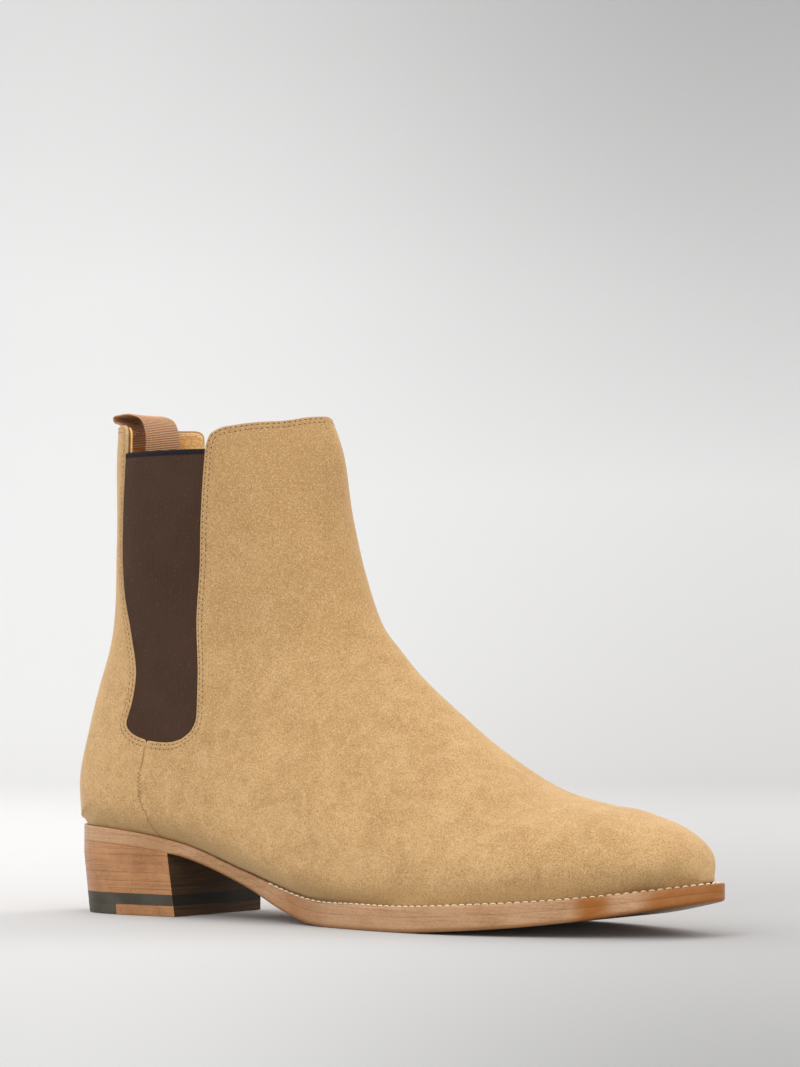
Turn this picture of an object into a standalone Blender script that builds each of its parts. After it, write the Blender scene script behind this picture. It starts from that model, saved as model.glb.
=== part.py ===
"""Chelsea boot, right foot: suede upper with elastic gores, welted leather sole and stacked heel.

The shape is drawn in millimetres, x from the back of the heel to the toe tip, y to the wearer's left
(the inner side of this right boot), z up from the ground, and is moved to the part's frame as it is built:
metres, origin under the middle of the boot, +X to the toe.
"""
import math

import bmesh
import bpy
import numpy as np

# ---------------------------------------------------------------- driving dimensions, millimetres
MM = 0.001
FRAME_X, FRAME_Y = 150.44, -0.52      # where the part's origin lies on the ground under the boot

# Footprint of the upper at the feather line: half widths of the outer (lateral) and inner (medial) sides.
FOOTPRINT_X = (2, 6, 14, 28, 50, 75, 105, 140, 175, 200, 225, 250, 270, 284, 292, 296)
FOOTPRINT_LATERAL = (0, 17.5, 26, 30, 30.4, 29.9, 31.5, 38, 45, 47, 44, 35.5, 26, 17, 9, 0)
FOOTPRINT_MEDIAL = (0, 17.5, 26, 30, 30, 28.4, 27.5, 33, 42, 46, 42.5, 33, 23, 14, 7, 0)
HEEL_BACK, TOE_TIP = 2.0, 296.0

# Height of the feather line, where the upper meets the sole, and of the sole's underside.
FEATHER = ((0, 36.6), (30, 35.2), (50, 32.9), (66, 30.0), (100, 19.6), (140, 9.8), (165, 9.6), (185, 9.6),
           (215, 11.2), (255, 14.2), (285, 18.0), (300, 20.3))
SOLE_BOTTOM = ((0, 29.9), (30, 28.9), (50, 27.2), (64, 25.0), (100, 13.4), (120, 5.2), (140, 0.4), (150, 0), (185, 0),
               (215, 1.6), (255, 5.6), (285, 10.8), (300, 13.5))
WELT_THICKNESS = ((0, 2.0), (80, 2.0), (105, 3.2), (130, 3.8), (215, 3.8), (300, 3.2))
SOLE_OVERHANG = ((0, 1.2), (62, 1.2), (100, 0.8), (125, 1.6), (150, 3.4), (180, 4.6), (215, 5), (255, 5),
                 (300, 4.4))

# Sections of the upper. Each one is a straight line in side view from its front end to its back end, with the
# half width at its widest, where along the line that is, and how round its front and back parts are.
#            at    front x, z       back x, z     lateral  medial  widest  front  back
SECTIONS = ((0.00, 112.8, 210.5, 16.0, 205.0, 34.0, 34.0, 0.50, 1.45, 2.1),
            (0.10, 121.8, 189.5, 14.8, 186.0, 34.0, 34.0, 0.50, 1.60, 2.2),
            (0.22, 125.8, 163.0, 15.6, 152.0, 34.0, 34.0, 0.52, 1.80, 2.3),
            (0.34, 132.5, 138.0, 14.6, 112.0, 31.0, 31.5, 0.55, 2.00, 2.8),
            (0.44, 142.0, 117.0, 4.6, 75.0, 33.0, 33.0, 0.60, 2.00, 3.0),
            (0.47, 145.0, 113.5, 0.2, 54.0, 34.6, 34.0, 0.62, 2.00, 3.0),
            (0.50, 148.0, 110.5, 2.0, 36.6, 36.0, 35.0, 0.65, 2.00, 3.0),
            (0.56, 160.0, 98.0, 30.0, None, 37.0, 36.0, 0.70, 2.00, 2.8),
            (0.64, 178.0, 83.5, 75.0, None, 40.0, 38.0, 0.75, 2.00, 2.6),
            (0.73, 199.0, 68.0, 130.0, None, 45.0, 43.0, 0.80, 2.00, 2.5),
            (0.81, 224.5, 54.0, 175.0, None, 47.0, 45.0, 0.80, 2.00, 2.5),
            (0.88, 248.5, 47.9, 215.0, None, 43.0, 42.0, 0.80, 2.00, 2.5),
            (0.94, 267.0, 44.7, 252.0, None, 35.0, 34.0, 0.75, 2.10, 2.5),
            (0.96, 279.5, 40.4, 266.0, None, 29.0, 28.0, 0.71, 2.15, 2.5),
            (0.98, 289.5, 32.8, 280.0, None, 22.0, 21.0, 0.65, 2.20, 2.5),
            (1.00, 296.0, 21.0, 296.0, None, 3.0, 3.0, 0.60, 2.20, 2.5))
SEAT = 0.50                  # sections past this one end on the feather line, earlier ones on the back wall

# Side-view outlines, as x at a height z, or z at an x.
GORE_BACK_EDGE = ((79, 38.8), (88, 41.6), (100, 43.0), (116, 38.4), (130, 33.5), (157, 31.2), (190, 34.0))
GORE_FRONT_EDGE = ((79, 76.2), (98, 75.2), (121, 73.4), (147, 76.4), (190, 78.9))
GORE_TOP, GORE_BOTTOM = 189.5, 71.0
GORE_BACK_CORNER, GORE_FRONT_CORNER = (22.6, 8.0), (14.0, 10.5)      # reach along the bottom, rise
SIDE_SEAM = ((71.0, 51.2), (60, 49.1), (50, 48.6), (42, 51.4), (34, 54.3), (30, 56.0))
FRONT_TOPLINE = ((79.2, 191.0), (80.0, 194.0), (83.0, 197.0), (90.0, 199.0), (99.5, 200.3), (106, 200.7),
                 (110, 201.4), (113, 202.6), (116, 203.6), (125, 206.0))
BACK_TOP = 201.2
HINGE_HEIGHT = 76.0          # the back panel bends out from here up

# Layers of the upper, as depth below the outer face.
LEATHER, MIDDLE, LINING = (0.0, 1.8), (2.1, 3.1), (3.4, 4.4)
GORE_LAYER = (0.4, 1.8)
GAP = 0.3
SEAT_GAP = 0.7               # between the feather line and the upper standing on it
LINING_STEP = 0.8            # how much lower than the leather the lining ends at the top
LAYER_RISE = 0.3             # deeper layers end this much of their depth above the feather line
RISE_FADE = 0.06             # and that rise fades out over this much of the sections up the back wall
FRONT_FOLD = 1.25            # the layers lie this much closer to the middle at the front fold

# Heel, from the ground up.
TOP_PIECE, HEEL_RUBBER = 4.4, 4.5
LIFTS = (2.1, 3.1, 3.6, 3.7, 3.3)
BREAST_BOTTOM, BREAST_TOP = 61.3, 59.5
HEEL_OVERHANG_BOTTOM, HEEL_OVERHANG_TOP = -1.2, 1.2
HEEL_TOP = TOP_PIECE + HEEL_RUBBER + sum(LIFTS)
RUBBER_TIP_FRONT = 31.0      # the top piece is rubber behind this line and leather ahead of it

INSOLE_INSET, RIB_INSET = 6.4, 7.6
INSOLE_THICKNESS, SOCK_THICKNESS = 2.6, 1.0
WELT_JOINT = 84.0            # the welt runs forward of here, the heel rand behind it
SHANK = dict(back=36.0, front=138.0, half_width=6.5, thickness=1.2, low=0.35)
SHANK_ROOM_BELOW, SHANK_ROOM_ABOVE = 0.9, 1.8      # the cork is cut right through under and over the shank
CORK_ENDS, CORK_CLEARANCE = (12.0, 284.0), 0.6
TOE_ROOM_FROM, TOE_ROOM_OVER = 240.0, 50.0         # the insole and sock draw in further towards the toe
INSOLE_TOE_ROOM, SOCK_TOE_ROOM = 4.0, 8.0

RIBBON_WIDTH, RIBBON_THICKNESS = 22.0, 1.4
RIBBON_ROUTE = ((18.2, 202.4), (17.6, 203.7), (19.4, 205.4), (24.2, 206.2), (28.6, 204.1), (30.6, 199.0),
                (30.8, 192.5), (30.2, 184.0))
HEEL_NAILS = ((17, -9), (17, 9), (44, -15), (44, 15))
TOP_NAILS = ((11, 0), (20, -16), (20, 16), (40, -19), (40, 19), (54, 0))
NAIL_RADIUS, NAIL_CLEARANCE = 0.9, 0.3

# Mesh density: points across each side of the upper, and how many sections follow each of these stations.
COLUMNS = 10
ROWS = ((0.0, 6), (0.42, 12), (0.58, 7), (0.90, 6), (1.0, 0))
GORE_EDGE_POINTS, GORE_CORNER_POINTS, TOPLINE_POINTS = 9, 5, 10
SEAM_CLEAR = 0.8             # outline points nearer than this to the side seam's end are left out

# Side-view outlines of the stiffeners, and bounds that lie well clear of the boot.
TOE_PUFF_OUTLINE = ((238, 5), (243, 30), (236, 70), (289, 70), (289, 5))
HEEL_COUNTER_OUTLINE = ((-20, 5), (-20, 70), (18, 70), (40, 66), (58, 52), (70, 40), (76, 5))
FAR_BEHIND, FAR_AHEAD, UNDERNEATH, HIGH_ABOVE, ACROSS = -20.0, 320.0, 5.0, 260.0, 90.0

# ---------------------------------------------------------------- scene set-up
for old in list(bpy.data.objects):
    bpy.data.objects.remove(old, do_unlink=True)


def new_collection(name):
    collection = bpy.data.collections.new(name)
    bpy.context.scene.collection.children.link(collection)
    return collection


BOOT = new_collection("chelsea_boot")
CUTTERS = new_collection("cutters")


def material(name, colour, roughness, metallic=0.0):
    """A plain Principled material."""
    made = bpy.data.materials.new(name)
    made.use_nodes = True
    shader = made.node_tree.nodes["Principled BSDF"]
    shader.inputs["Base Color"].default_value = (*colour, 1.0)
    shader.inputs["Roughness"].default_value = roughness
    shader.inputs["Metallic"].default_value = metallic
    return made


LOOKS = {
    "suede": ((0.60, 0.39, 0.20), 0.95, 0.0),
    "elastic": ((0.075, 0.045, 0.035), 0.9, 0.0),
    "ribbon": ((0.50, 0.32, 0.19), 0.85, 0.0),
    "lining": ((0.70, 0.38, 0.12), 0.6, 0.0),
    "sole_leather": ((0.50, 0.29, 0.14), 0.45, 0.0),
    "veg_leather": ((0.55, 0.36, 0.20), 0.6, 0.0),
    "rubber": ((0.07, 0.066, 0.05), 0.7, 0.0),
    "cork": ((0.36, 0.22, 0.11), 0.95, 0.0),
    "fibreboard": ((0.42, 0.33, 0.22), 0.9, 0.0),
    "steel": ((0.55, 0.55, 0.56), 0.35, 1.0),
    "brass": ((0.72, 0.52, 0.20), 0.35, 1.0),
}


# ---------------------------------------------------------------- curves
def through(points, at):
    """A smooth curve y(x) through the points, worked out at one or many x."""
    xs, ys = (np.array(column, float) for column in zip(*points))
    step = np.diff(xs)
    slope = np.diff(ys) / step
    tangent = np.empty(len(xs))
    tangent[0], tangent[-1] = slope[0], slope[-1]
    tangent[1:-1] = (step[:-1] * slope[1:] + step[1:] * slope[:-1]) / (step[:-1] + step[1:])
    at = np.clip(np.asarray(at, float), xs[0], xs[-1])
    i = np.clip(np.searchsorted(xs, at) - 1, 0, len(step) - 1)
    t = (at - xs[i]) / step[i]
    return ((2 * t**3 - 3 * t**2 + 1) * ys[i] + (t**3 - 2 * t**2 + t) * step[i] * tangent[i]
            + (3 * t**2 - 2 * t**3) * ys[i + 1] + (t**3 - t**2) * step[i] * tangent[i + 1])


def feather(x):
    return through(FEATHER, x)


def sole_bottom(x):
    return np.maximum(through(SOLE_BOTTOM, x), 0.0)


def welt_bottom(x):
    return feather(x) - through(WELT_THICKNESS, x)


def sole_overhang(x):
    return through(SOLE_OVERHANG, x)


def footprint(side, x):
    """Half width of the upper's footprint; squares are interpolated so that both ends are round."""
    widths = FOOTPRINT_LATERAL if side < 0 else FOOTPRINT_MEDIAL
    squares = [(a, b * b) for a, b in zip(FOOTPRINT_X, widths)]
    return np.sqrt(np.maximum(through(squares, x), 0.0))


def footprint_inside(side, x, depth):
    """Half width of a layer inside the footprint, whose x has already been drawn in by the same depth."""
    reach = 0.5
    slope = float(footprint(side, x + reach) - footprint(side, x - reach)) / (2 * reach)
    return max(float(footprint(side, x)) - depth * (math.hypot(1, slope) - abs(slope)), 0.0)


def plan_edge(side, overhang, count=400):
    """The footprint's edge on one side, moved out square to itself, as x and half width."""
    x = HEEL_BACK + (TOE_TIP - HEEL_BACK) * (1 - np.cos(np.linspace(0, math.pi, count))) / 2
    y = footprint(side, x)
    dx, dy = np.gradient(x), np.gradient(y)
    length = np.hypot(dx, dy)
    out = overhang(x) if callable(overhang) else np.full(count, float(overhang))
    edge_x = x - out * dy / length
    edge_y = y + out * dx / length
    edge_x[0], edge_y[0] = HEEL_BACK - out[0], 0.0
    edge_x[-1], edge_y[-1] = TOE_TIP + out[-1], 0.0
    return edge_x, np.maximum(edge_y, 0.0)


# ---------------------------------------------------------------- the upper's surface
def section_values(u):
    """The section table read at u, each column as a smooth curve."""
    column = [[row[0] for row in SECTIONS]] + [[row[i] for row in SECTIONS] for i in range(1, 10)]
    at = column[0]
    values = [float(through(list(zip(at, column[i])), u)) for i in (1, 2, 5, 6, 7, 8, 9)]
    seat_row = at.index(SEAT)
    if u <= SEAT:
        rows = SECTIONS[:seat_row + 1]
        back = [float(through([(r[0], r[i]) for r in rows], u)) for i in (3, 4)]
    else:
        rows = SECTIONS[seat_row:]
        back_x = float(through([(r[0], r[3]) for r in rows], u))
        back = [back_x, float(feather(back_x))]
    return values[:2] + back + values[2:]


def section(u, side, depth, columns):
    """Points of one section on one side, from the front fold to its back or feather end."""
    front_x, front_z, back_x, back_z, lateral, medial, widest, front_round, back_round = section_values(u)
    width = (lateral if side < 0 else medial) - depth
    end = 0.0 if u <= SEAT else footprint_inside(side, back_x, depth)
    width = max(width, end + 0.02)
    back_z += LAYER_RISE * depth * min(max(1 - (SEAT - u) / RISE_FADE, 0.0), 1.0)
    length = math.hypot(back_x - front_x, back_z - front_z)
    middle = (HEEL_BACK + TOE_TIP) / 2
    shrink = 1 - depth / (middle - HEEL_BACK)
    inset = min(depth * FRONT_FOLD / max(length, 1e-6), 0.6)
    start = inset * (1 - u**60)
    points = []
    half = columns // 2
    for k in range(columns + 1):
        if k <= half:
            s = widest * (1 - math.cos(math.pi / 2 * k / half))
            across = max(1 - ((widest - s) / widest)**front_round, 0.0)**(1 / front_round)
        else:
            t = math.sin(math.pi / 2 * (k - half) / half)
            s = widest + (1 - widest) * t
            across = max(1 - t**back_round * (1 - (end / width)**back_round), 0.0)**(1 / back_round)
        s = start + (1 - start) * s
        x = front_x + (back_x - front_x) * s
        z = front_z + (back_z - front_z) * s
        points.append((middle + (x - middle) * shrink, side * width * across, z + SEAT_GAP))
    return points


# ---------------------------------------------------------------- building meshes
def add_object(name, mesh, look, collection=BOOT):
    made = bpy.data.objects.new(name, mesh)
    collection.objects.link(made)
    if look:
        made.data.materials.append(material(name, *LOOKS[look]))
    return made


def mesh_from(name, points, faces):
    """A mesh in the part's frame from points in millimetres."""
    mesh = bpy.data.meshes.new(name)
    moved = [((x - FRAME_X) * MM, (y - FRAME_Y) * MM, z * MM) for x, y, z in points]
    mesh.from_pydata(moved, [], faces)
    work = bmesh.new()
    work.from_mesh(mesh)
    bmesh.ops.recalc_face_normals(work, faces=work.faces)
    work.to_mesh(mesh)
    work.free()
    mesh.shade_smooth()
    mesh.set_sharp_from_angle(angle=math.radians(40))
    return mesh


def upper_shell(name, layer):
    """A closed shell of the whole upper between two depths, open at the top and along the feather line."""
    columns = COLUMNS
    us = []
    for (start, count), (end, _) in zip(ROWS, ROWS[1:]):
        us += [start + (end - start) * i / count for i in range(count)]
    points, index = [], []
    for depth in layer:
        grid = {}
        for i, u in enumerate(us):
            for side in (-1, 1):
                for k, point in enumerate(section(u, side, depth, columns)):
                    joined = k == 0 or (k == columns and u <= SEAT)
                    if side > 0 and joined:
                        grid[i, side, k] = grid[i, -1, k]
                        continue
                    if joined:
                        point = (point[0], 0.0, point[2])
                    grid[i, side, k] = len(points)
                    points.append(point)
        points.append((TOE_TIP - depth, 0.0, float(feather(TOE_TIP)) + SEAT_GAP + 1.0))
        for side in (-1, 1):
            for k in range(columns + 1):
                grid[len(us), side, k] = len(points) - 1
        index.append(grid)
    faces, rim = [], {}
    for side in (-1, 1):
        for i in range(len(us)):
            for k in range(columns):
                quad = [(i, side, k), (i + 1, side, k), (i + 1, side, k + 1), (i, side, k + 1)]
                if side > 0:
                    quad = [quad[0], quad[3], quad[2], quad[1]]
                a, b, c, d = quad
                for layer_grid, turn in zip(index, (1, -1)):
                    for triangle in ((a, b, c), (a, c, d)):
                        corners = list(dict.fromkeys(layer_grid[point] for point in triangle))
                        if len(corners) == 3:
                            faces.append(corners[::turn])
                corners = list(dict.fromkeys(index[0][c] for c in quad))
                inner = {index[0][c]: index[1][c] for c in quad}
                for a, b in zip(corners, corners[1:] + corners[:1]):
                    if (b, a) in rim:
                        del rim[b, a]
                    else:
                        rim[a, b] = (inner[a], inner[b])
    faces += [[b, a, inner_a, inner_b] for (a, b), (inner_a, inner_b) in rim.items()]
    return mesh_from(name, points, faces)


def loft(name, rows, look, closed=False):
    """A solid through rows of corners, capped at both ends unless it closes on itself."""
    corners = len(rows[0])
    points = [point for row in rows for point in row]
    faces = []
    for i in range(len(rows) if closed else len(rows) - 1):
        j = (i + 1) % len(rows)
        for k in range(corners):
            n = (k + 1) % corners
            faces.append([i * corners + k, i * corners + n, j * corners + n, j * corners + k])
    if not closed:
        faces.append(list(range(corners))[::-1])
        faces.append([(len(rows) - 1) * corners + k for k in range(corners)])
    return add_object(name, mesh_from(name, points, faces), look)


def prism(name, outline):
    """A cutter: a side-view outline of x, z carried right across the boot."""
    near = [(x, -ACROSS, z) for x, z in outline]
    far = [(x, ACROSS, z) for x, z in outline]
    count = len(outline)
    faces = [list(range(count))[::-1], list(range(count, 2 * count))]
    faces += [[k, (k + 1) % count, count + (k + 1) % count, count + k] for k in range(count)]
    made = add_object(name, mesh_from(name, near + far, faces), None, CUTTERS)
    made.hide_render = True
    made.display_type = "WIRE"
    return made


def block(name, low, high):
    """A box cutter between two corners in millimetres."""
    (x0, y0, z0), (x1, y1, z1) = low, high
    mesh = bpy.data.meshes.new(name)
    work = bmesh.new()
    bmesh.ops.create_cube(work, size=1.0)
    for vertex in work.verts:
        vertex.co.x = ((x0 + x1) / 2 + vertex.co.x * (x1 - x0) - FRAME_X) * MM
        vertex.co.y = ((y0 + y1) / 2 + vertex.co.y * (y1 - y0) - FRAME_Y) * MM
        vertex.co.z = ((z0 + z1) / 2 + vertex.co.z * (z1 - z0)) * MM
    work.to_mesh(mesh)
    work.free()
    made = add_object(name, mesh, None, CUTTERS)
    made.hide_render = True
    made.display_type = "WIRE"
    return made


def cut(target, cutter, operation="DIFFERENCE"):
    boolean = target.modifiers.new(cutter.name, "BOOLEAN")
    boolean.operation = operation
    boolean.object = cutter
    boolean.solver = "EXACT"


# ---------------------------------------------------------------- side-view outlines
def gore_outline(grow):
    """The gore's back edge downwards, its bottom and its front edge upwards, grown or shrunk all round."""
    low = GORE_BOTTOM - grow
    edges, bends = [], []
    for edge, (reach, rise), ahead in ((GORE_BACK_EDGE, GORE_BACK_CORNER, -1),
                                       (GORE_FRONT_EDGE, GORE_FRONT_CORNER, 1)):
        heights = np.linspace(GORE_BOTTOM + rise, GORE_TOP, GORE_EDGE_POINTS)
        edges.append([(float(through(edge, z)) + ahead * grow, float(z)) for z in heights])
        start = edges[-1][0][0]
        turns = [math.pi / 2 * i / GORE_CORNER_POINTS for i in range(1, GORE_CORNER_POINTS + 1)]
        bends.append([(start - ahead * reach * (1 - math.cos(turn)), low + rise * (1 - math.sin(turn)))
                      for turn in turns])
    return edges[0][::-1], bends[0] + bends[1][::-1], edges[1]


def seam_line(shift):
    return [(x + shift, z) for z, x in SIDE_SEAM]


def split_at_seam(bottom, shift):
    """The gore's bottom outline as far as the side seam, from its back end and from its front end."""
    seam_x = SIDE_SEAM[0][1] + shift
    end = (seam_x, float(np.interp(seam_x, *zip(*bottom))))
    behind = [p for p in bottom if p[0] < seam_x - SEAM_CLEAR]
    ahead = [p for p in bottom if p[0] > seam_x + SEAM_CLEAR]
    return behind + [end], [end] + ahead


def front_outline(lowered=0.0):
    """Everything ahead of the side seam and the gore, below the topline."""
    _, bottom, front = gore_outline(GAP / 2)
    _, ahead = split_at_seam(bottom, GAP / 2)
    below = seam_line(GAP / 2)[1:][::-1]
    xs = np.linspace(FRONT_TOPLINE[0][0], FRONT_TOPLINE[-1][0], TOPLINE_POINTS)
    top = [(float(x), float(through(FRONT_TOPLINE, x)) - lowered) for x in xs]
    beyond = [(FAR_AHEAD, top[-1][1]), (FAR_AHEAD, UNDERNEATH), (80.0, UNDERNEATH)]
    return below + ahead + front[:-1] + top + beyond


def back_outline(low, high):
    """The back panel between two heights, behind the gore and the side seam."""
    back, bottom, _ = gore_outline(GAP / 2)
    behind, _ = split_at_seam(bottom, -GAP / 2)
    edge = back + behind + seam_line(-GAP / 2)[1:]
    if high > GORE_TOP:
        edge = [(edge[0][0], high)] + edge
        kept = [p for p in edge if p[1] >= low]
        at_low = float(np.interp(low, [p[1] for p in edge[::-1]], [p[0] for p in edge[::-1]]))
        return [(FAR_BEHIND, high)] + kept + [(at_low, low), (FAR_BEHIND, low)]
    kept = [p for p in edge if p[1] <= high]
    at_high = float(np.interp(high, [p[1] for p in edge[::-1]], [p[0] for p in edge[::-1]]))
    return [(FAR_BEHIND, high), (at_high, high)] + kept + [(58.0, low), (FAR_BEHIND, low)]


# ---------------------------------------------------------------- the upper
def upper_piece(name, look, layer, outline):
    made = add_object(name, upper_shell(name, layer), look)
    cut(made, prism(name + "_outline", outline), "INTERSECT")
    return made


def build_upper():
    upper_piece("front_upper", "suede", LEATHER, front_outline())
    upper_piece("quarter_lower", "suede", LEATHER, back_outline(UNDERNEATH, HINGE_HEIGHT - GAP / 2))
    upper_piece("quarter_upper", "suede", LEATHER, back_outline(HINGE_HEIGHT + GAP / 2, BACK_TOP))
    upper_piece("lining_front", "lining", LINING, front_outline(LINING_STEP))
    upper_piece("lining_quarter_lower", "lining", LINING, back_outline(UNDERNEATH, HINGE_HEIGHT - GAP / 2))
    top = BACK_TOP - LINING_STEP
    upper_piece("lining_quarter_upper", "lining", LINING, back_outline(HINGE_HEIGHT + GAP / 2, top))
    back, bottom, front = gore_outline(-GAP / 2)
    for name, side in (("gore_lateral", -1), ("gore_medial", 1)):
        made = upper_piece(name, "elastic", GORE_LAYER, back + bottom + front)
        across = sorted((0.0, side * ACROSS))
        half = block(name + "_half", (FAR_BEHIND, across[0], 0.0), (FAR_AHEAD, across[1], HIGH_ABOVE))
        cut(made, half, "INTERSECT")
    upper_piece("toe_puff", "fibreboard", MIDDLE, TOE_PUFF_OUTLINE)
    upper_piece("heel_counter", "fibreboard", MIDDLE, HEEL_COUNTER_OUTLINE)


# ---------------------------------------------------------------- the bottom
def slab(name, look, start, end, overhang, top, bottom, count=40):
    """A plate across the boot from one x to another, with its edge at the footprint plus an overhang."""
    edges = {side: plan_edge(side, overhang) for side in (-1, 1)}
    first = max(start, edges[-1][0][0] + 0.25)
    last = min(end, edges[-1][0][-1] - 0.25)
    turn = np.linspace(0, math.pi, count)
    spread = (1 - np.cos(turn)) / 2
    rows = []
    for x in first + (last - first) * spread:
        y = [side * max(float(np.interp(x, *edges[side])), 0.8) for side in (-1, 1)]
        high, low = float(top(x)), float(bottom(x))
        rows.append([(x, y[0], high), (x, y[1], high), (x, y[1], low), (x, y[0], low)])
    return loft(name, rows, look)


def ring_rows(overhang, inset, top, bottom, keep, count=60):
    """Rows of a ring under the feather line, over the plan points that keep(x) accepts."""
    rows = {}
    for side in (-1, 1):
        outer = np.array(plan_edge(side, overhang, count))
        inner = np.array(plan_edge(side, -inset, count))
        rows[side] = []
        for (ox, oy), (ix, iy) in zip(outer.T, inner.T):
            if keep(ox):
                corners = ((ox, oy, top), (ix, iy, top), (ix, iy, bottom), (ox, oy, bottom))
                rows[side].append([(x, side * y, float(z(x))) for x, y, z in corners])
    return rows


def build_bottom():
    rows = ring_rows(sole_overhang, RIB_INSET, feather, lambda x: welt_bottom(x) + GAP / 2,
                     lambda x: x > WELT_JOINT)
    loft("welt", rows[-1][:-1] + rows[1][::-1], "sole_leather")
    rows = ring_rows(sole_overhang, RIB_INSET, feather, lambda x: welt_bottom(x) + GAP / 2,
                     lambda x: x < WELT_JOINT - 4.0)
    loft("heel_rand", rows[-1][::-1] + rows[1][1:], "sole_leather")
    sole = slab("outsole", "sole_leather", FAR_BEHIND, FAR_AHEAD, sole_overhang,
                lambda x: welt_bottom(x) - GAP / 2, sole_bottom)
    filler = slab("cork_filler", "cork", *CORK_ENDS, -(RIB_INSET + CORK_CLEARANCE),
                  lambda x: feather(x) - GAP / 3, lambda x: welt_bottom(x) + GAP)

    def toe_room(inset, extra):
        return lambda x: -inset - extra * np.clip((x - TOE_ROOM_FROM) / TOE_ROOM_OVER, 0, 1)**2

    insole = slab("insole", "veg_leather", FAR_BEHIND, FAR_AHEAD, toe_room(INSOLE_INSET, INSOLE_TOE_ROOM),
                  lambda x: feather(x) + GAP + INSOLE_THICKNESS, lambda x: feather(x) + GAP)
    sock_low = GAP * 2 + INSOLE_THICKNESS
    slab("sock_liner", "lining", FAR_BEHIND, FAR_AHEAD, toe_room(INSOLE_INSET + GAP, SOCK_TOE_ROOM),
         lambda x: feather(x) + sock_low + SOCK_THICKNESS, lambda x: feather(x) + sock_low)

    def shank_rows(grow, below, above):
        rows = []
        for x in np.linspace(SHANK["back"] - grow, SHANK["front"] + grow, 9):
            low = float(welt_bottom(x)) + SHANK["low"] - below
            high = float(welt_bottom(x)) + SHANK["low"] + SHANK["thickness"] + above
            half = SHANK["half_width"] + grow
            rows.append([(x, -half, high), (x, half, high), (x, half, low), (x, -half, low)])
        return rows

    loft("shank", shank_rows(0.0, 0.0, 0.0), "steel")
    room = loft("shank_room", shank_rows(GAP, SHANK_ROOM_BELOW, SHANK_ROOM_ABOVE), "steel")
    BOOT.objects.unlink(room)
    CUTTERS.objects.link(room)
    room.hide_render = True
    room.display_type = "WIRE"
    cut(filler, room)
    return insole, filler, sole


def heel_overhang(z):
    return HEEL_OVERHANG_BOTTOM + (HEEL_OVERHANG_TOP - HEEL_OVERHANG_BOTTOM) * z / HEEL_TOP


def breast(z):
    return BREAST_BOTTOM + (BREAST_TOP - BREAST_BOTTOM) * z / HEEL_TOP


def heel_block(name, look, low, high, start=None, end=None, count=10):
    """One layer of the heel. low and high are heights, or a curve of x; start and end cut it square."""
    def level(z, x):
        return float(z(x)) if callable(z) else z

    faces = []
    for z in (low, high):
        flat = z if not callable(z) else HEEL_TOP
        edges = {side: plan_edge(side, heel_overhang(flat)) for side in (-1, 1)}
        first = edges[-1][0][0] + 0.25 if start is None else start
        last = breast(flat) if end is None else end
        spread = 1 - np.cos(np.linspace(0, math.pi / 2, count)) if start is None else np.linspace(0, 1, 4)
        face = []
        for x in first + (last - first) * spread:
            y = [side * max(float(np.interp(x, *edges[side])), 0.8) for side in (-1, 1)]
            face.append(((x, y[0], level(z, x)), (x, y[1], level(z, x))))
        faces.append(face)
    rows = [[top[0], top[1], bottom[1], bottom[0]] for bottom, top in zip(*faces)]
    return loft(name, rows, look)


def build_heel():
    half_gap = GAP / 2
    rubber_front = RUBBER_TIP_FRONT - half_gap
    pieces = [
        heel_block("top_piece_rubber", "rubber", 0.0, TOP_PIECE - half_gap, end=rubber_front),
        heel_block("top_piece_leather", "sole_leather", 0.0, TOP_PIECE - half_gap,
                   start=RUBBER_TIP_FRONT + half_gap),
        heel_block("heel_rubber_layer", "rubber", TOP_PIECE + half_gap, TOP_PIECE + HEEL_RUBBER - half_gap),
    ]
    low = TOP_PIECE + HEEL_RUBBER
    for number, thickness in enumerate(LIFTS, 1):
        pieces.append(heel_block(f"heel_lift_{number}", "sole_leather", low + half_gap,
                                 low + thickness - half_gap))
        low += thickness

    def wedge_top(x):
        return np.maximum(sole_bottom(x) - GAP, HEEL_TOP + 1.5 * GAP)

    pieces.append(heel_block("heel_wedge", "sole_leather", HEEL_TOP + half_gap, wedge_top))
    return pieces


def nail(name, look, x, y, low, high, pieces):
    """A round nail from low to high with a clearance hole for it in each of the pieces."""
    for radius, extra, collection in ((NAIL_RADIUS, 0.0, BOOT), (NAIL_RADIUS + NAIL_CLEARANCE, GAP, CUTTERS)):
        mesh = bpy.data.meshes.new(name)
        work = bmesh.new()
        bmesh.ops.create_cone(work, cap_ends=True, segments=8, radius1=radius * MM, radius2=radius * MM,
                              depth=(high - low + 2 * extra) * MM)
        work.to_mesh(mesh)
        work.free()
        hole = collection is CUTTERS
        made = add_object(name + "_hole" if hole else name, mesh, None if hole else look, collection)
        made.location = ((x - FRAME_X) * MM, (y - FRAME_Y) * MM, (low + high) / 2 * MM)
        if hole:
            made.hide_render = True
            made.display_type = "WIRE"
            for piece in pieces:
                cut(piece, made)


def build_nails(seat, heel):
    for number, (x, y) in enumerate(HEEL_NAILS, 1):
        nail(f"heel_nail_{number}", "steel", x, y, TOP_PIECE + HEEL_RUBBER + LIFTS[0] + 2 * GAP,
             float(feather(x)) + GAP + INSOLE_THICKNESS - 0.2, list(seat) + heel[4:])
    rubber_tip, leather_tip, rubber_layer, first_lift = heel[:4]
    for number, (x, y) in enumerate(TOP_NAILS, 1):
        tip = rubber_tip if x < RUBBER_TIP_FRONT else leather_tip
        nail(f"top_nail_{number}", "brass", x, y, 0.1, TOP_PIECE + HEEL_RUBBER - 2 * GAP, [tip, rubber_layer])


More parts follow.
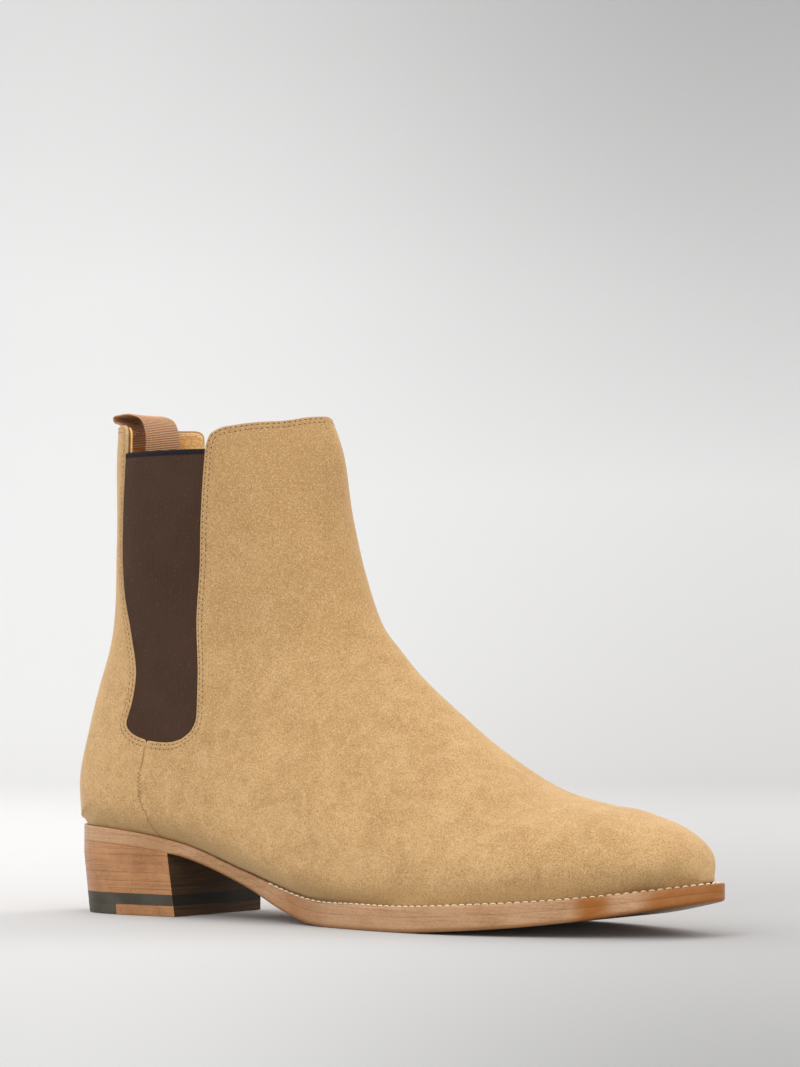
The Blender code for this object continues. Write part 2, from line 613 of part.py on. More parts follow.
# ---------------------------------------------------------------- the pull loop
def build_pull_loop():
    half, thick = RIBBON_WIDTH / 2, RIBBON_THICKNESS / 2
    along = np.cumsum([0.0] + [math.dist(a, b) for a, b in zip(RIBBON_ROUTE, RIBBON_ROUTE[1:])])
    at = np.linspace(0, along[-1], 18)
    x = through(list(zip(along, [p[0] for p in RIBBON_ROUTE])), at)
    z = through(list(zip(along, [p[1] for p in RIBBON_ROUTE])), at)
    dx, dz = np.gradient(x), np.gradient(z)
    length = np.hypot(dx, dz)
    rows = []
    for px, pz, nx, nz in zip(x, z, -dz / length * thick, dx / length * thick):
        rows.append([(px + nx, -half, pz + nz), (px + nx, half, pz + nz),
                     (px - nx, half, pz - nz), (px - nx, -half, pz - nz)])
    return loft("pull_loop", rows, "ribbon")


build_upper()
seat_pieces = build_bottom()
heel_pieces = build_heel()
build_nails(seat_pieces, heel_pieces)
build_pull_loop()
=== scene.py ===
"""Suede chelsea boot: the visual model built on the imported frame, with its floor, lights and camera."""
import math

import bpy
import numpy as np
from mathutils import Euler, Matrix, Vector


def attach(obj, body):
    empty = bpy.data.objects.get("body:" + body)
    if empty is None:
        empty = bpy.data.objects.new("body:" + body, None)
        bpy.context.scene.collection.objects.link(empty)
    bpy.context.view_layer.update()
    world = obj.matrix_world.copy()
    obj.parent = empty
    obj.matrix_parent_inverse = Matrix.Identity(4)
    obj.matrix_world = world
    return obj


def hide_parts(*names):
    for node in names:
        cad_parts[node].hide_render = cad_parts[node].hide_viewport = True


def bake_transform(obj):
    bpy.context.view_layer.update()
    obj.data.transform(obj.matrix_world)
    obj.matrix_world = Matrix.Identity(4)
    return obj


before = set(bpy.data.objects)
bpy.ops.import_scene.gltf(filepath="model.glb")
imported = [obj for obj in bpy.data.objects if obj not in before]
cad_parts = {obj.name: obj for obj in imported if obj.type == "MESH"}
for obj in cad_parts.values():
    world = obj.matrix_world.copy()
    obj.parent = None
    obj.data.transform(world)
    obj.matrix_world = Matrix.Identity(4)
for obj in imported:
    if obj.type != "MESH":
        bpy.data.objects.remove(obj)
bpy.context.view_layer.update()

# ---------------------------------------------------------------- the boot's drawing, millimetres
MM = 0.001
FRAME_X, FRAME_Y = 150.44, -0.52
FOOTPRINT_X = (2, 6, 14, 28, 50, 75, 105, 140, 175, 200, 225, 250, 270, 284, 292, 296)
FOOTPRINT_LATERAL = (0, 17.5, 26, 30, 30.4, 29.9, 31.5, 38, 45, 47, 44, 35.5, 26, 17, 9, 0)
FOOTPRINT_MEDIAL = (0, 17.5, 26, 30, 30, 28.4, 27.5, 33, 42, 46, 42.5, 33, 23, 14, 7, 0)
HEEL_BACK, TOE_TIP = 2.0, 296.0
FEATHER = ((0, 36.6), (30, 35.2), (50, 32.9), (66, 30.0), (100, 19.6), (140, 9.8), (165, 9.6), (185, 9.6),
           (215, 11.2), (255, 14.2), (285, 18.0), (300, 20.3))
SOLE_BOTTOM = ((0, 29.9), (30, 28.9), (50, 27.2), (64, 25.0), (100, 13.4), (120, 5.2), (140, 0.4), (150, 0), (185, 0),
               (215, 1.6), (255, 5.6), (285, 10.8), (300, 13.5))
WELT_THICKNESS = ((0, 2.0), (80, 2.0), (105, 3.2), (130, 3.8), (215, 3.8), (300, 3.2))
SOLE_OVERHANG = ((0, 1.2), (62, 1.2), (100, 0.8), (125, 1.6), (150, 3.4), (180, 4.6), (215, 5), (255, 5),
                 (300, 4.4))
#            at    front x, z       back x, z     lateral  medial  widest  front  back
SECTIONS = ((0.00, 112.8, 210.5, 16.0, 205.0, 34.0, 34.0, 0.50, 1.45, 2.1),
            (0.10, 121.8, 189.5, 14.8, 186.0, 34.0, 34.0, 0.50, 1.60, 2.2),
            (0.22, 125.8, 163.0, 15.6, 152.0, 34.0, 34.0, 0.52, 1.80, 2.3),
            (0.34, 132.5, 138.0, 14.6, 112.0, 31.0, 31.5, 0.55, 2.00, 2.8),
            (0.44, 142.0, 117.0, 4.6, 75.0, 33.0, 33.0, 0.60, 2.00, 3.0),
            (0.47, 145.0, 113.5, 0.2, 54.0, 34.6, 34.0, 0.62, 2.00, 3.0),
            (0.50, 148.0, 110.5, 2.0, 36.6, 36.0, 35.0, 0.65, 2.00, 3.0),
            (0.56, 160.0, 98.0, 30.0, None, 37.0, 36.0, 0.70, 2.00, 2.8),
            (0.64, 178.0, 83.5, 75.0, None, 40.0, 38.0, 0.75, 2.00, 2.6),
            (0.73, 199.0, 68.0, 130.0, None, 45.0, 43.0, 0.80, 2.00, 2.5),
            (0.81, 224.5, 54.0, 175.0, None, 47.0, 45.0, 0.80, 2.00, 2.5),
            (0.88, 248.5, 47.9, 215.0, None, 43.0, 42.0, 0.80, 2.00, 2.5),
            (0.94, 267.0, 44.7, 252.0, None, 35.0, 34.0, 0.75, 2.10, 2.5),
            (0.96, 279.5, 40.4, 266.0, None, 29.0, 28.0, 0.71, 2.15, 2.5),
            (0.98, 289.5, 32.8, 280.0, None, 22.0, 21.0, 0.65, 2.20, 2.5),
            (1.00, 296.0, 21.0, 296.0, None, 3.0, 3.0, 0.60, 2.20, 2.5))
SEAT = 0.50
SEAT_GAP = 0.7
GORE_BACK_EDGE = ((79, 38.8), (88, 41.6), (100, 43.0), (116, 38.4), (130, 33.5), (157, 31.2), (190, 34.0))
GORE_FRONT_EDGE = ((79, 76.2), (98, 75.2), (121, 73.4), (147, 76.4), (190, 78.9))
GORE_TOP, GORE_BOTTOM = 189.5, 71.0
GORE_BACK_CORNER, GORE_FRONT_CORNER = (22.6, 8.0), (14.0, 10.5)
SIDE_SEAM = ((71.0, 51.2), (60, 49.1), (50, 48.6), (42, 51.4), (34, 54.3), (30, 56.0))
FRONT_TOPLINE = ((79.2, 191.0), (80.0, 194.0), (83.0, 197.0), (90.0, 199.0), (99.5, 200.3), (106, 200.7),
                 (110, 201.5), (113, 202.4), (116, 202.8), (125, 203.2))
BACK_TOP = 201.2
TOP_PIECE, HEEL_RUBBER = 4.4, 4.5
LIFTS = (2.1, 3.1, 3.6, 3.7, 3.3)
BREAST_BOTTOM, BREAST_TOP = 61.3, 59.5
HEEL_OVERHANG_BOTTOM, HEEL_OVERHANG_TOP = -1.2, 1.2
HEEL_TOP = TOP_PIECE + HEEL_RUBBER + sum(LIFTS)
RUBBER_TIP_FRONT = 31.0
INSOLE_INSET, INSOLE_THICKNESS, SOCK_THICKNESS = 6.4, 2.6, 1.0
WELT_JOINT = 84.0
RIBBON_WIDTH = 22.0

# ---------------------------------------------------------------- how the visual pieces differ
LEATHER, SKIVED, SKIVED_OVER = 1.8, 0.6, 7.0      # thickness of the suede, thinner near its stitched edges
FOLDED_EDGE, FOLDED_REACH = 0.9, 7.0              # the topline is turned over and so doubled
LINING_DEPTH, LINING = 2.75, 0.85
STIFFENER_DEPTH, STIFFENER = 1.9, 0.75
GORE_UNDER = 8.0             # how far the elastic runs on beneath the leather
GORE_DEPTH_EDGE, GORE_DEPTH_MIDDLE, GORE_THICKNESS = 0.68, 0.5, 0.7
RIB_HEIGHT = 0.045
BACK_EDGE_EASE = 1.3         # the thin leather edge at the back of the gore is pulled back this much
STITCH_ROWS = (1.1, 2.8)     # distance of the two stitch rows from the edge
STITCH_PITCH = 2.2


# ---------------------------------------------------------------- curves
def through(points, at):
    """A smooth curve y(x) through the points, worked out at one or many x."""
    xs, ys = (np.array(column, float) for column in zip(*points))
    step = np.diff(xs)
    slope = np.diff(ys) / step
    tangent = np.empty(len(xs))
    tangent[0], tangent[-1] = slope[0], slope[-1]
    tangent[1:-1] = (step[:-1] * slope[1:] + step[1:] * slope[:-1]) / (step[:-1] + step[1:])
    at = np.clip(np.asarray(at, float), xs[0], xs[-1])
    i = np.clip(np.searchsorted(xs, at) - 1, 0, len(step) - 1)
    t = (at - xs[i]) / step[i]
    return ((2 * t**3 - 3 * t**2 + 1) * ys[i] + (t**3 - 2 * t**2 + t) * step[i] * tangent[i]
            + (3 * t**2 - 2 * t**3) * ys[i + 1] + (t**3 - t**2) * step[i] * tangent[i + 1])


def feather(x):
    return through(FEATHER, x)


def sole_bottom(x):
    return np.maximum(through(SOLE_BOTTOM, x), 0.0)


def welt_bottom(x):
    return feather(x) - through(WELT_THICKNESS, x)


def sole_overhang(x):
    return through(SOLE_OVERHANG, x)


def footprint(side, x):
    widths = FOOTPRINT_LATERAL if side < 0 else FOOTPRINT_MEDIAL
    squares = [(a, b * b) for a, b in zip(FOOTPRINT_X, widths)]
    return np.sqrt(np.maximum(through(squares, x), 0.0))


def smooth(x, low, high):
    t = np.clip((np.asarray(x, float) - low) / (high - low), 0, 1)
    return t * t * (3 - 2 * t)


# ---------------------------------------------------------------- the upper's surface, many points at once
U_FINE = np.linspace(0.0, 1.0, 4001)


def section_tables():
    at = [row[0] for row in SECTIONS]
    names = ("front_x", "front_z", "lateral", "medial", "widest", "front_round", "back_round")
    tables = {name: through([(row[0], row[i]) for row in SECTIONS], U_FINE)
              for name, i in zip(names, (1, 2, 5, 6, 7, 8, 9))}
    seat = at.index(SEAT)
    up = [row for row in SECTIONS[:seat + 1]]
    along = [row for row in SECTIONS[seat:]]
    back_x = np.where(U_FINE <= SEAT, through([(r[0], r[3]) for r in up], U_FINE),
                      through([(r[0], r[3]) for r in along], U_FINE))
    tables["back_x"] = back_x
    tables["back_z"] = np.where(U_FINE <= SEAT, through([(r[0], r[4]) for r in up], U_FINE), feather(back_x))
    return tables


TABLES = section_tables()


def at_u(name, u):
    return np.interp(u, U_FINE, TABLES[name])


def half_width(u, side, s):
    """Half width of the upper at section u, a share s of the way from its front end to its back end."""
    width = at_u("lateral" if side < 0 else "medial", u)
    end = np.where(u <= SEAT, 0.0, footprint(side, at_u("back_x", u)))
    width = np.maximum(width, end + 0.02)
    widest, front, back = at_u("widest", u), at_u("front_round", u), at_u("back_round", u)
    ahead = np.clip((widest - s) / widest, 0, 1)
    behind = np.clip((s - widest) / (1 - widest), 0, 1)
    nose = np.maximum(1 - ahead**front, 0)**(1 / front)
    tail = np.maximum(1 - behind**back * (1 - (end / width)**back), 0)**(1 / back)
    return width * np.where(s < widest, nose, tail)


def skin(u, side, t):
    """Points of the surface at sections u; t runs from the front fold, 0, to the back or feather end, 1."""
    widest = at_u("widest", u)
    s = np.where(t < 0.5, widest * (1 - np.cos(math.pi * t)), widest + (1 - widest) * np.sin(math.pi * (t - 0.5)))
    x = at_u("front_x", u) + (at_u("back_x", u) - at_u("front_x", u)) * s
    z = at_u("front_z", u) + (at_u("back_z", u) - at_u("front_z", u)) * s
    return np.stack(np.broadcast_arrays(x, side * half_width(u, side, s), z + SEAT_GAP), -1)


def lift(x, z, side):
    """The surface point straight across from a place x, z in side view."""
    x, z = np.asarray(x, float), np.asarray(z, float) - SEAT_GAP
    low, high = np.zeros(x.shape), np.ones(x.shape)
    for _ in range(34):
        u = (low + high) / 2
        fx, fz, bx, bz = (at_u(name, u) for name in ("front_x", "front_z", "back_x", "back_z"))
        above = (bx - fx) * (z - fz) - (bz - fz) * (x - fx) < 0
        high = np.where(above, u, high)
        low = np.where(above, low, u)
    u = (low + high) / 2
    fx, fz, bx, bz = (at_u(name, u) for name in ("front_x", "front_z", "back_x", "back_z"))
    s = ((x - fx) * (bx - fx) + (z - fz) * (bz - fz)) / ((bx - fx)**2 + (bz - fz)**2)
    s = np.clip(s, 0, 1)
    return np.stack([fx + (bx - fx) * s, side * half_width(u, side, s), fz + (bz - fz) * s + SEAT_GAP], -1)


def lift_with_normal(x, z, side, reach=0.4):
    x, z = np.asarray(x, float), np.asarray(z, float)
    along_x = lift(x + reach, z, side) - lift(x - reach, z, side)
    along_z = lift(x, z + reach, side) - lift(x, z - reach, side)
    normal = np.cross(along_z, along_x) * side
    normal /= np.maximum(np.linalg.norm(normal, axis=-1, keepdims=True), 1e-9)
    return lift(x, z, side), normal


# ---------------------------------------------------------------- outlines in side view
def gore_edge(grow, steps=46):
    """The gore's edge from its back top corner, down, round its bottom corners and up to its front top corner."""
    low = GORE_BOTTOM - grow
    sides, bends = [], []
    for edge, (reach, rise), ahead in ((GORE_BACK_EDGE, GORE_BACK_CORNER, -1),
                                       (GORE_FRONT_EDGE, GORE_FRONT_CORNER, 1)):
        heights = np.linspace(GORE_BOTTOM + rise, GORE_TOP, steps)
        ease = BACK_EDGE_EASE * smooth(heights, 84.0, 110.0) if ahead < 0 else 0 * heights
        sides.append([(float(through(edge, z)) + ahead * (grow + more), float(z)) for z, more in zip(heights, ease)])
        start = sides[-1][0][0]
        turns = [math.pi / 2 * i / 16 for i in range(1, 17)]
        bends.append([(start - ahead * reach * (1 - math.cos(turn)), low + rise * (1 - math.sin(turn)))
                      for turn in turns])
    return sides[0][::-1] + bends[0] + bends[1][::-1] + sides[1]


def dense(points, step=1.5):
    points = np.array(points, float)
    along = np.concatenate([[0], np.cumsum(np.hypot(*np.diff(points, axis=0).T))])
    at = np.linspace(0, along[-1], max(int(along[-1] / step), 2) + 1)
    return [(float(np.interp(a, along, points[:, 0])), float(np.interp(a, along, points[:, 1]))) for a in at]


def seam_edge(shift):
    zs = np.linspace(30, GORE_BOTTOM - 0.15, 30)
    return [(float(through([(z, x) for z, x in SIDE_SEAM[::-1]], z)) + shift, float(z)) for z in zs]


def front_edges(lowered=0.0, gap=0.15):
    """The front panel's stitched edge, from the side seam round the gore and along the topline, and its seam."""
    seam = seam_edge(0.0)
    gore = [p for p in gore_edge(gap) if p[0] > 51.2 and not (p[1] > 100 and p[0] < 55)]
    topline = [(float(x), float(through(FRONT_TOPLINE, x)) - lowered) for x in np.linspace(79.2, 125, 60)]
    return seam, gore + topline


def back_edges(lowered=0.0, gap=0.15):
    seam = seam_edge(0.0)
    gore = [p for p in gore_edge(gap) if p[0] < 51.2 and not (p[1] > 100 and p[0] > 55)]
    corner = gore[0][0]
    top = [(x, BACK_TOP - lowered) for x in np.linspace(-10, corner - 3, 20)]
    turn = [(corner - 3 + 3 * math.sin(a), BACK_TOP - lowered - 3 + 3 * math.cos(a))
            for a in np.linspace(0.2, math.pi / 2, 6)]
    return seam, top + turn + gore


def inside(outline, x, z):
    """Which of the places x, z lie inside a closed outline."""
    result = np.zeros(len(x), bool)
    for (x0, z0), (x1, z1) in zip(outline, outline[1:] + outline[:1]):
        if z0 == z1:
            continue
        crosses = (z0 > z) != (z1 > z)
        result ^= crosses & (x < (x1 - x0) * (z - z0) / (z1 - z0) + x0)
    return result


def distance(points, path):
    """Distance of many points to a path in space."""
    best = np.full(len(points), 1e9)
    for a, b in zip(path, path[1:]):
        ab = b - a
        size = float(ab @ ab)
        if size < 1e-12:
            continue
        t = np.clip((points - a) @ ab / size, 0, 1)
        best = np.minimum(best, np.linalg.norm(points - a - t[:, None] * ab, axis=1))
    return best


def distance_to_edge(points, edge):
    """Distance of surface points to an edge drawn in side view, on whichever side of the boot they are."""
    edge = np.array(dense(edge), float)
    result = np.empty(len(points))
    for side in (-1, 1):
        here = points[:, 1] <= 0 if side < 0 else points[:, 1] > 0
        result[here] = distance(points[here], lift(edge[:, 0], edge[:, 1], side))
    return result


# ---------------------------------------------------------------- triangle meshes as arrays
class Sheet:
    """Triangles with named numbers at every point, which can be split along a level of one of them."""

    def __init__(self, points, triangles, **fields):
        self.points, self.triangles, self.fields = points, triangles, fields

    def split(self, name, level):
        value = self.fields[name] - level
        value = np.where(np.abs(value) < 1e-5, 1e-5, value)
        above = value > 0
        count = above[self.triangles].sum(1)
        whole = self.triangles[(count == 0) | (count == 3)]
        mixed = self.triangles[(count == 1) | (count == 2)]
        if not len(mixed):
            return
        lone_above = above[mixed].sum(1) == 1
        is_lone = above[mixed] == lone_above[:, None]
        first = is_lone.argmax(1)
        rows = np.arange(len(mixed))
        a, b, c = (mixed[rows, (first + k) % 3] for k in range(3))
        pairs = np.sort(np.concatenate([np.stack([a, b], 1), np.stack([a, c], 1)]), axis=1)
        unique, where = np.unique(pairs, axis=0, return_inverse=True)
        where = where.reshape(-1)
        t = value[unique[:, 0]] / (value[unique[:, 0]] - value[unique[:, 1]])
        start = len(self.points)

        def between(array):
            weight = t if array.ndim == 1 else t[:, None]
            return np.concatenate([array, array[unique[:, 0]] * (1 - weight) + array[unique[:, 1]] * weight])

        self.points = between(self.points)
        self.fields = {key: between(array) for key, array in self.fields.items()}
        ab, ac = start + where[:len(mixed)], start + where[len(mixed):]
        self.triangles = np.concatenate([whole, np.stack([a, ab, ac], 1), np.stack([ab, b, c], 1),
                                         np.stack([ab, c, ac], 1)])

    def keep_above(self, name, level=0.0):
        self.split(name, level)
        middle = self.fields[name][self.triangles].mean(1)
        self.triangles = self.triangles[middle > level]
        used, index = np.unique(self.triangles, return_inverse=True)
        self.triangles = index.reshape(-1, 3)
        self.points = self.points[used]
        self.fields = {key: array[used] for key, array in self.fields.items()}

    def normals(self):
        a, b, c = (self.points[self.triangles[:, k]] for k in range(3))
        face = np.cross(b - a, c - a)
        total = np.zeros(self.points.shape)
        for k in range(3):
            np.add.at(total, self.triangles[:, k], face)
        return total / np.maximum(np.linalg.norm(total, axis=1, keepdims=True), 1e-12)

    def copy(self):
        return Sheet(self.points.copy(), self.triangles.copy(), **{k: v.copy() for k, v in self.fields.items()})


def thicken(sheet, depth, thickness):
    """A closed skin: the sheet moved in by depth, and again by the thickness, joined round its borders."""
    normal = sheet.normals()
    outer = sheet.points - normal * np.reshape(depth, (-1, 1))
    inner = outer - normal * np.reshape(thickness, (-1, 1))
    count = len(outer)
    tri = sheet.triangles
    edges = np.concatenate([tri[:, [0, 1]], tri[:, [1, 2]], tri[:, [2, 0]]])
    both = np.sort(edges, axis=1)
    _, index, uses = np.unique(both, axis=0, return_inverse=True, return_counts=True)
    rim = edges[uses[index.reshape(-1)] == 1]
    faces = tri.tolist() + (tri[:, ::-1] + count).tolist()
    faces += [[b, a, a + count, b + count] for a, b in rim.tolist()]
    return np.concatenate([outer, inner]), faces


def mesh_object(name, points, faces, looks, fields=None, uv=None, indices=None, sharp=45.0):
    """A mesh piece in the part's frame from points in millimetres."""
    points = np.asarray(points, float)
    moved = (points - [FRAME_X, FRAME_Y, 0.0]) * MM
    mesh = bpy.data.meshes.new(name)
    mesh.from_pydata(moved.tolist(), [], [list(face) for face in faces])
    for key, values in (fields or {}).items():
        attribute = mesh.attributes.new(key, "FLOAT", "POINT")
        attribute.data.foreach_set("value", np.asarray(values, np.float32))
    if uv is not None:
        layer = mesh.uv_layers.new(name="UVMap")
        loops = np.empty(len(mesh.loops), int)
        mesh.loops.foreach_get("vertex_index", loops)
        layer.data.foreach_set("uv", np.asarray(uv, np.float32)[loops].reshape(-1))
    mesh.update()
    mesh.shade_smooth()
    mesh.set_sharp_from_angle(angle=math.radians(sharp))
    for look in looks if isinstance(looks, (list, tuple)) else [looks]:
        mesh.materials.append(look)
    if indices is not None:
        mesh.polygons.foreach_set("material_index", np.asarray(indices, np.int32))
    made = bpy.data.objects.new(name, mesh)
    bpy.context.scene.collection.objects.link(made)
    return made


# ---------------------------------------------------------------- materials
class Look:
    """A Principled material and short calls for the nodes that feed it."""

    def __init__(self, name, **sockets):
        self.material = bpy.data.materials.new(name)
        self.material.use_nodes = True
        self.tree = self.material.node_tree
        self.shader = self.tree.nodes["Principled BSDF"]
        for key, value in sockets.items():
            self.shader.inputs[key.replace("_", " ")].default_value = value
        self.place = self.node("ShaderNodeTexCoord").outputs["Object"]

    def node(self, kind, settings=None, **inputs):
        made = self.tree.nodes.new(kind)
        for key, value in (settings or {}).items():
            setattr(made, key, value)
        for key, value in inputs.items():
            socket = made.inputs[int(key[1:])] if key[0] == "i" and key[1:].isdigit() else made.inputs[key]
            if isinstance(value, bpy.types.NodeSocket):
                self.tree.links.new(value, socket)
            else:
                socket.default_value = value
        return made

    def noise(self, scale, detail=3.0, rough=0.55, stretch=None, at=None, distortion=0.0):
        at = at or self.place
        if stretch:
            at = self.node("ShaderNodeMapping", i0=at, i3=stretch).outputs[0]
        return self.node("ShaderNodeTexNoise", Vector=at, Scale=scale, Detail=detail, Roughness=rough,
                         Distortion=distortion).outputs[0]

    def cells(self, scale, feature="F1", stretch=None, randomness=1.0):
        at = self.place
        if stretch:
            at = self.node("ShaderNodeMapping", i0=at, i3=stretch).outputs[0]
        return self.node("ShaderNodeTexVoronoi", {"feature": feature}, Vector=at, Scale=scale,
                         Randomness=randomness).outputs[0]

    def field(self, name):
        return self.node("ShaderNodeAttribute", {"attribute_name": name}).outputs["Fac"]

    def math(self, operation, a, b=0.0, clamp=False):
        return self.node("ShaderNodeMath", {"operation": operation, "use_clamp": clamp}, i0=a, i1=b).outputs[0]

    def band(self, value, low, high, to_low=0.0, to_high=1.0):
        return self.node("ShaderNodeMapRange", {"interpolation_type": "SMOOTHSTEP"}, i0=value, i1=low, i2=high,
                         i3=to_low, i4=to_high).outputs[0]

    def mix(self, share, a, b, kind="MIX"):
        made = self.node("ShaderNodeMix", {"data_type": "RGBA", "blend_type": kind})
        for socket, value in ((made.inputs[0], share), (made.inputs[6], a), (made.inputs[7], b)):
            if isinstance(value, bpy.types.NodeSocket):
                self.tree.links.new(value, socket)
            elif socket is made.inputs[0]:
                socket.default_value = value
            else:
                socket.default_value = (*value, 1.0)
        return made.outputs[2]

    def set(self, socket, value):
        self.tree.links.new(value, self.shader.inputs[socket])

    def bump(self, *layers):
        """Layers of height, each with its depth in millimetres, pressed into the surface one after another."""
        normal = None
        for height, depth in layers:
            made = self.node("ShaderNodeBump", Strength=1.0, Distance=depth * MM, Height=height)
            if normal:
                self.tree.links.new(normal, made.inputs["Normal"])
            normal = made.outputs[0]
        self.set("Normal", normal)


def suede_look():
    look = Look("suede", Roughness=0.92, Sheen_Weight=0.55, Sheen_Roughness=0.40,
                Sheen_Tint=(1.0, 0.78, 0.50, 1.0), Specular_IOR_Level=0.12)
    clouds = look.noise(38, 3, 0.55, distortion=0.4)
    patches = look.noise(130, 4, 0.6, distortion=0.8)
    nap = look.noise(1650, 3, 0.75)
    fibre = look.noise(3800, 2, 0.6, stretch=(1.0, 1.0, 0.55))
    # height above the ground, used for the painted shade higher up the shaft
    height = look.node("ShaderNodeSeparateXYZ", Vector=look.place).outputs[2]
    colour = look.mix(look.band(clouds, 0.30, 0.70), (0.500, 0.296, 0.121), (0.585, 0.360, 0.156))
    colour = look.mix(look.band(patches, 0.46, 0.68, 0.0, 0.60), colour, (0.640, 0.410, 0.200))
    colour = look.mix(look.band(patches, 0.30, 0.46, 0.60, 0.0), colour, (0.430, 0.250, 0.105))
    # painted shade: the suede darkens from 50 mm up towards the top of the shaft
    colour = look.mix(look.band(height, 0.05, 0.19, 0.0, 0.60), colour, (0.420, 0.240, 0.092))
    colour = look.mix(look.band(nap, 0.34, 0.50, 0.70, 0.0), colour, (0.300, 0.165, 0.060))
    colour = look.mix(look.band(nap, 0.50, 0.66, 0.0, 0.55), colour, (0.760, 0.525, 0.290))
    colour = look.mix(look.band(fibre, 0.54, 0.70, 0.0, 0.30), colour, (0.850, 0.640, 0.410))
    colour = look.mix(look.band(fibre, 0.30, 0.44, 0.26, 0.0), colour, (0.310, 0.172, 0.064))
    # painted shade along the feather line, darkest where the upper meets the welt
    colour = look.mix(look.band(look.field("low"), 0.0, 1.0, 0.0, 0.42), colour, (0.330, 0.220, 0.095))
    look.set("Base Color", colour)
    look.bump((patches, 0.10), (nap, 0.13), (fibre, 0.06))
    return look.material


def edge_look():
    """The cut, lighter edge of the suede leather."""
    look = Look("cut_edge", Roughness=0.85)
    grain = look.noise(1400, 3, 0.6)
    look.set("Base Color", look.mix(look.band(grain, 0.35, 0.7), (0.50, 0.33, 0.16), (0.66, 0.47, 0.26)))
    look.bump((grain, 0.10))
    return look.material


def elastic_look():
    look = Look("elastic", Roughness=0.92, Sheen_Weight=0.05, Sheen_Roughness=0.4,
                Sheen_Tint=(1.0, 0.7, 0.55, 1.0), Specular_IOR_Level=0.08)
    uv = look.node("ShaderNodeUVMap").outputs[0]
    parts = look.node("ShaderNodeSeparateXYZ", Vector=uv)
    across, up = parts.outputs[0], parts.outputs[1]
    rib = look.math("SINE", look.math("MULTIPLY", across, 2 * math.pi))
    weave = look.math("SINE", look.math("MULTIPLY", up, 2 * math.pi * 1.0))
    cross = look.math("MULTIPLY", look.math("MULTIPLY", rib, 0.5), weave)
    patches = look.noise(60, 4, 0.6)
    fibre = look.noise(1500, 2, 0.6)
    colour = look.mix(look.band(rib, -0.9, 0.9), (0.052, 0.029, 0.018), (0.067, 0.038, 0.025))
    colour = look.mix(look.band(patches, 0.35, 0.65, 0.0, 0.5), colour, (0.074, 0.038, 0.029))
    colour = look.mix(look.band(fibre, 0.64, 0.74, 0.0, 0.6), colour, (0.20, 0.125, 0.075))
    look.set("Base Color", colour)
    look.bump((rib, 0.02), (cross, 0.03), (fibre, 0.05))
    return look.material


def selvedge_look():
    look = Look("elastic_selvedge", Roughness=0.85, Specular_IOR_Level=0.1)
    uv = look.node("ShaderNodeUVMap").outputs[0]
    parts = look.node("ShaderNodeSeparateXYZ", Vector=uv)
    thread = look.math("SINE", look.math("MULTIPLY", parts.outputs[0], 2 * math.pi * 1.6))
    fibre = look.noise(1800, 2, 0.6)
    colour = look.mix(look.band(thread, -1.0, 1.0), (0.010, 0.008, 0.011), (0.026, 0.020, 0.026))
    look.set("Base Color", look.mix(look.band(fibre, 0.6, 0.8, 0.0, 0.3), colour, (0.08, 0.07, 0.08)))
    look.bump((thread, 0.06), (fibre, 0.04))
    return look.material


def ribbon_look():
    look = Look("ribbon", Roughness=0.7, Sheen_Weight=0.25, Sheen_Roughness=0.35,
                Sheen_Tint=(1.0, 0.82, 0.66, 1.0), Specular_IOR_Level=0.25)
    uv = look.node("ShaderNodeUVMap").outputs[0]
    parts = look.node("ShaderNodeSeparateXYZ", Vector=uv)
    rib = look.math("SINE", look.math("MULTIPLY", parts.outputs[1], 2 * math.pi))
    thread = look.math("SINE", look.math("MULTIPLY", parts.outputs[0], 2 * math.pi))
    fibre = look.noise(1500, 2, 0.6)
    # painted highlight and shade: the rib crests are lightened to the pink-tan of their highlights and the grooves
    # between them darkened to dark brown
    colour = look.mix(look.band(rib, -0.8, 0.5), (0.25, 0.105, 0.040), (0.70, 0.40, 0.215))
    colour = look.mix(look.band(fibre, 0.45, 0.75, 0.0, 0.4), colour, (0.76, 0.50, 0.31))
    look.set("Base Color", colour)
    look.bump((rib, 0.08), (thread, 0.02), (fibre, 0.04))
    return look.material


def lining_look():
    look = Look("lining_leather", Roughness=0.5, Specular_IOR_Level=0.35)
    pores = look.cells(900)
    wrinkle = look.cells(420, "DISTANCE_TO_EDGE")
    clouds = look.noise(70, 3, 0.55)
    fine = look.noise(700, 3, 0.6)
    colour = look.mix(look.band(clouds, 0.3, 0.7), (0.93, 0.50, 0.140), (0.96, 0.61, 0.235))
    colour = look.mix(look.band(wrinkle, 0.0, 0.10, 0.45, 0.0), colour, (0.58, 0.24, 0.045))
    colour = look.mix(look.band(fine, 0.55, 0.75, 0.0, 0.35), colour, (0.84, 0.56, 0.28))
    look.set("Base Color", colour)
    look.set("Roughness", look.band(fine, 0.3, 0.7, 0.42, 0.62))
    look.bump((look.band(wrinkle, 0.0, 0.12), 0.10), (pores, 0.05))
    return look.material


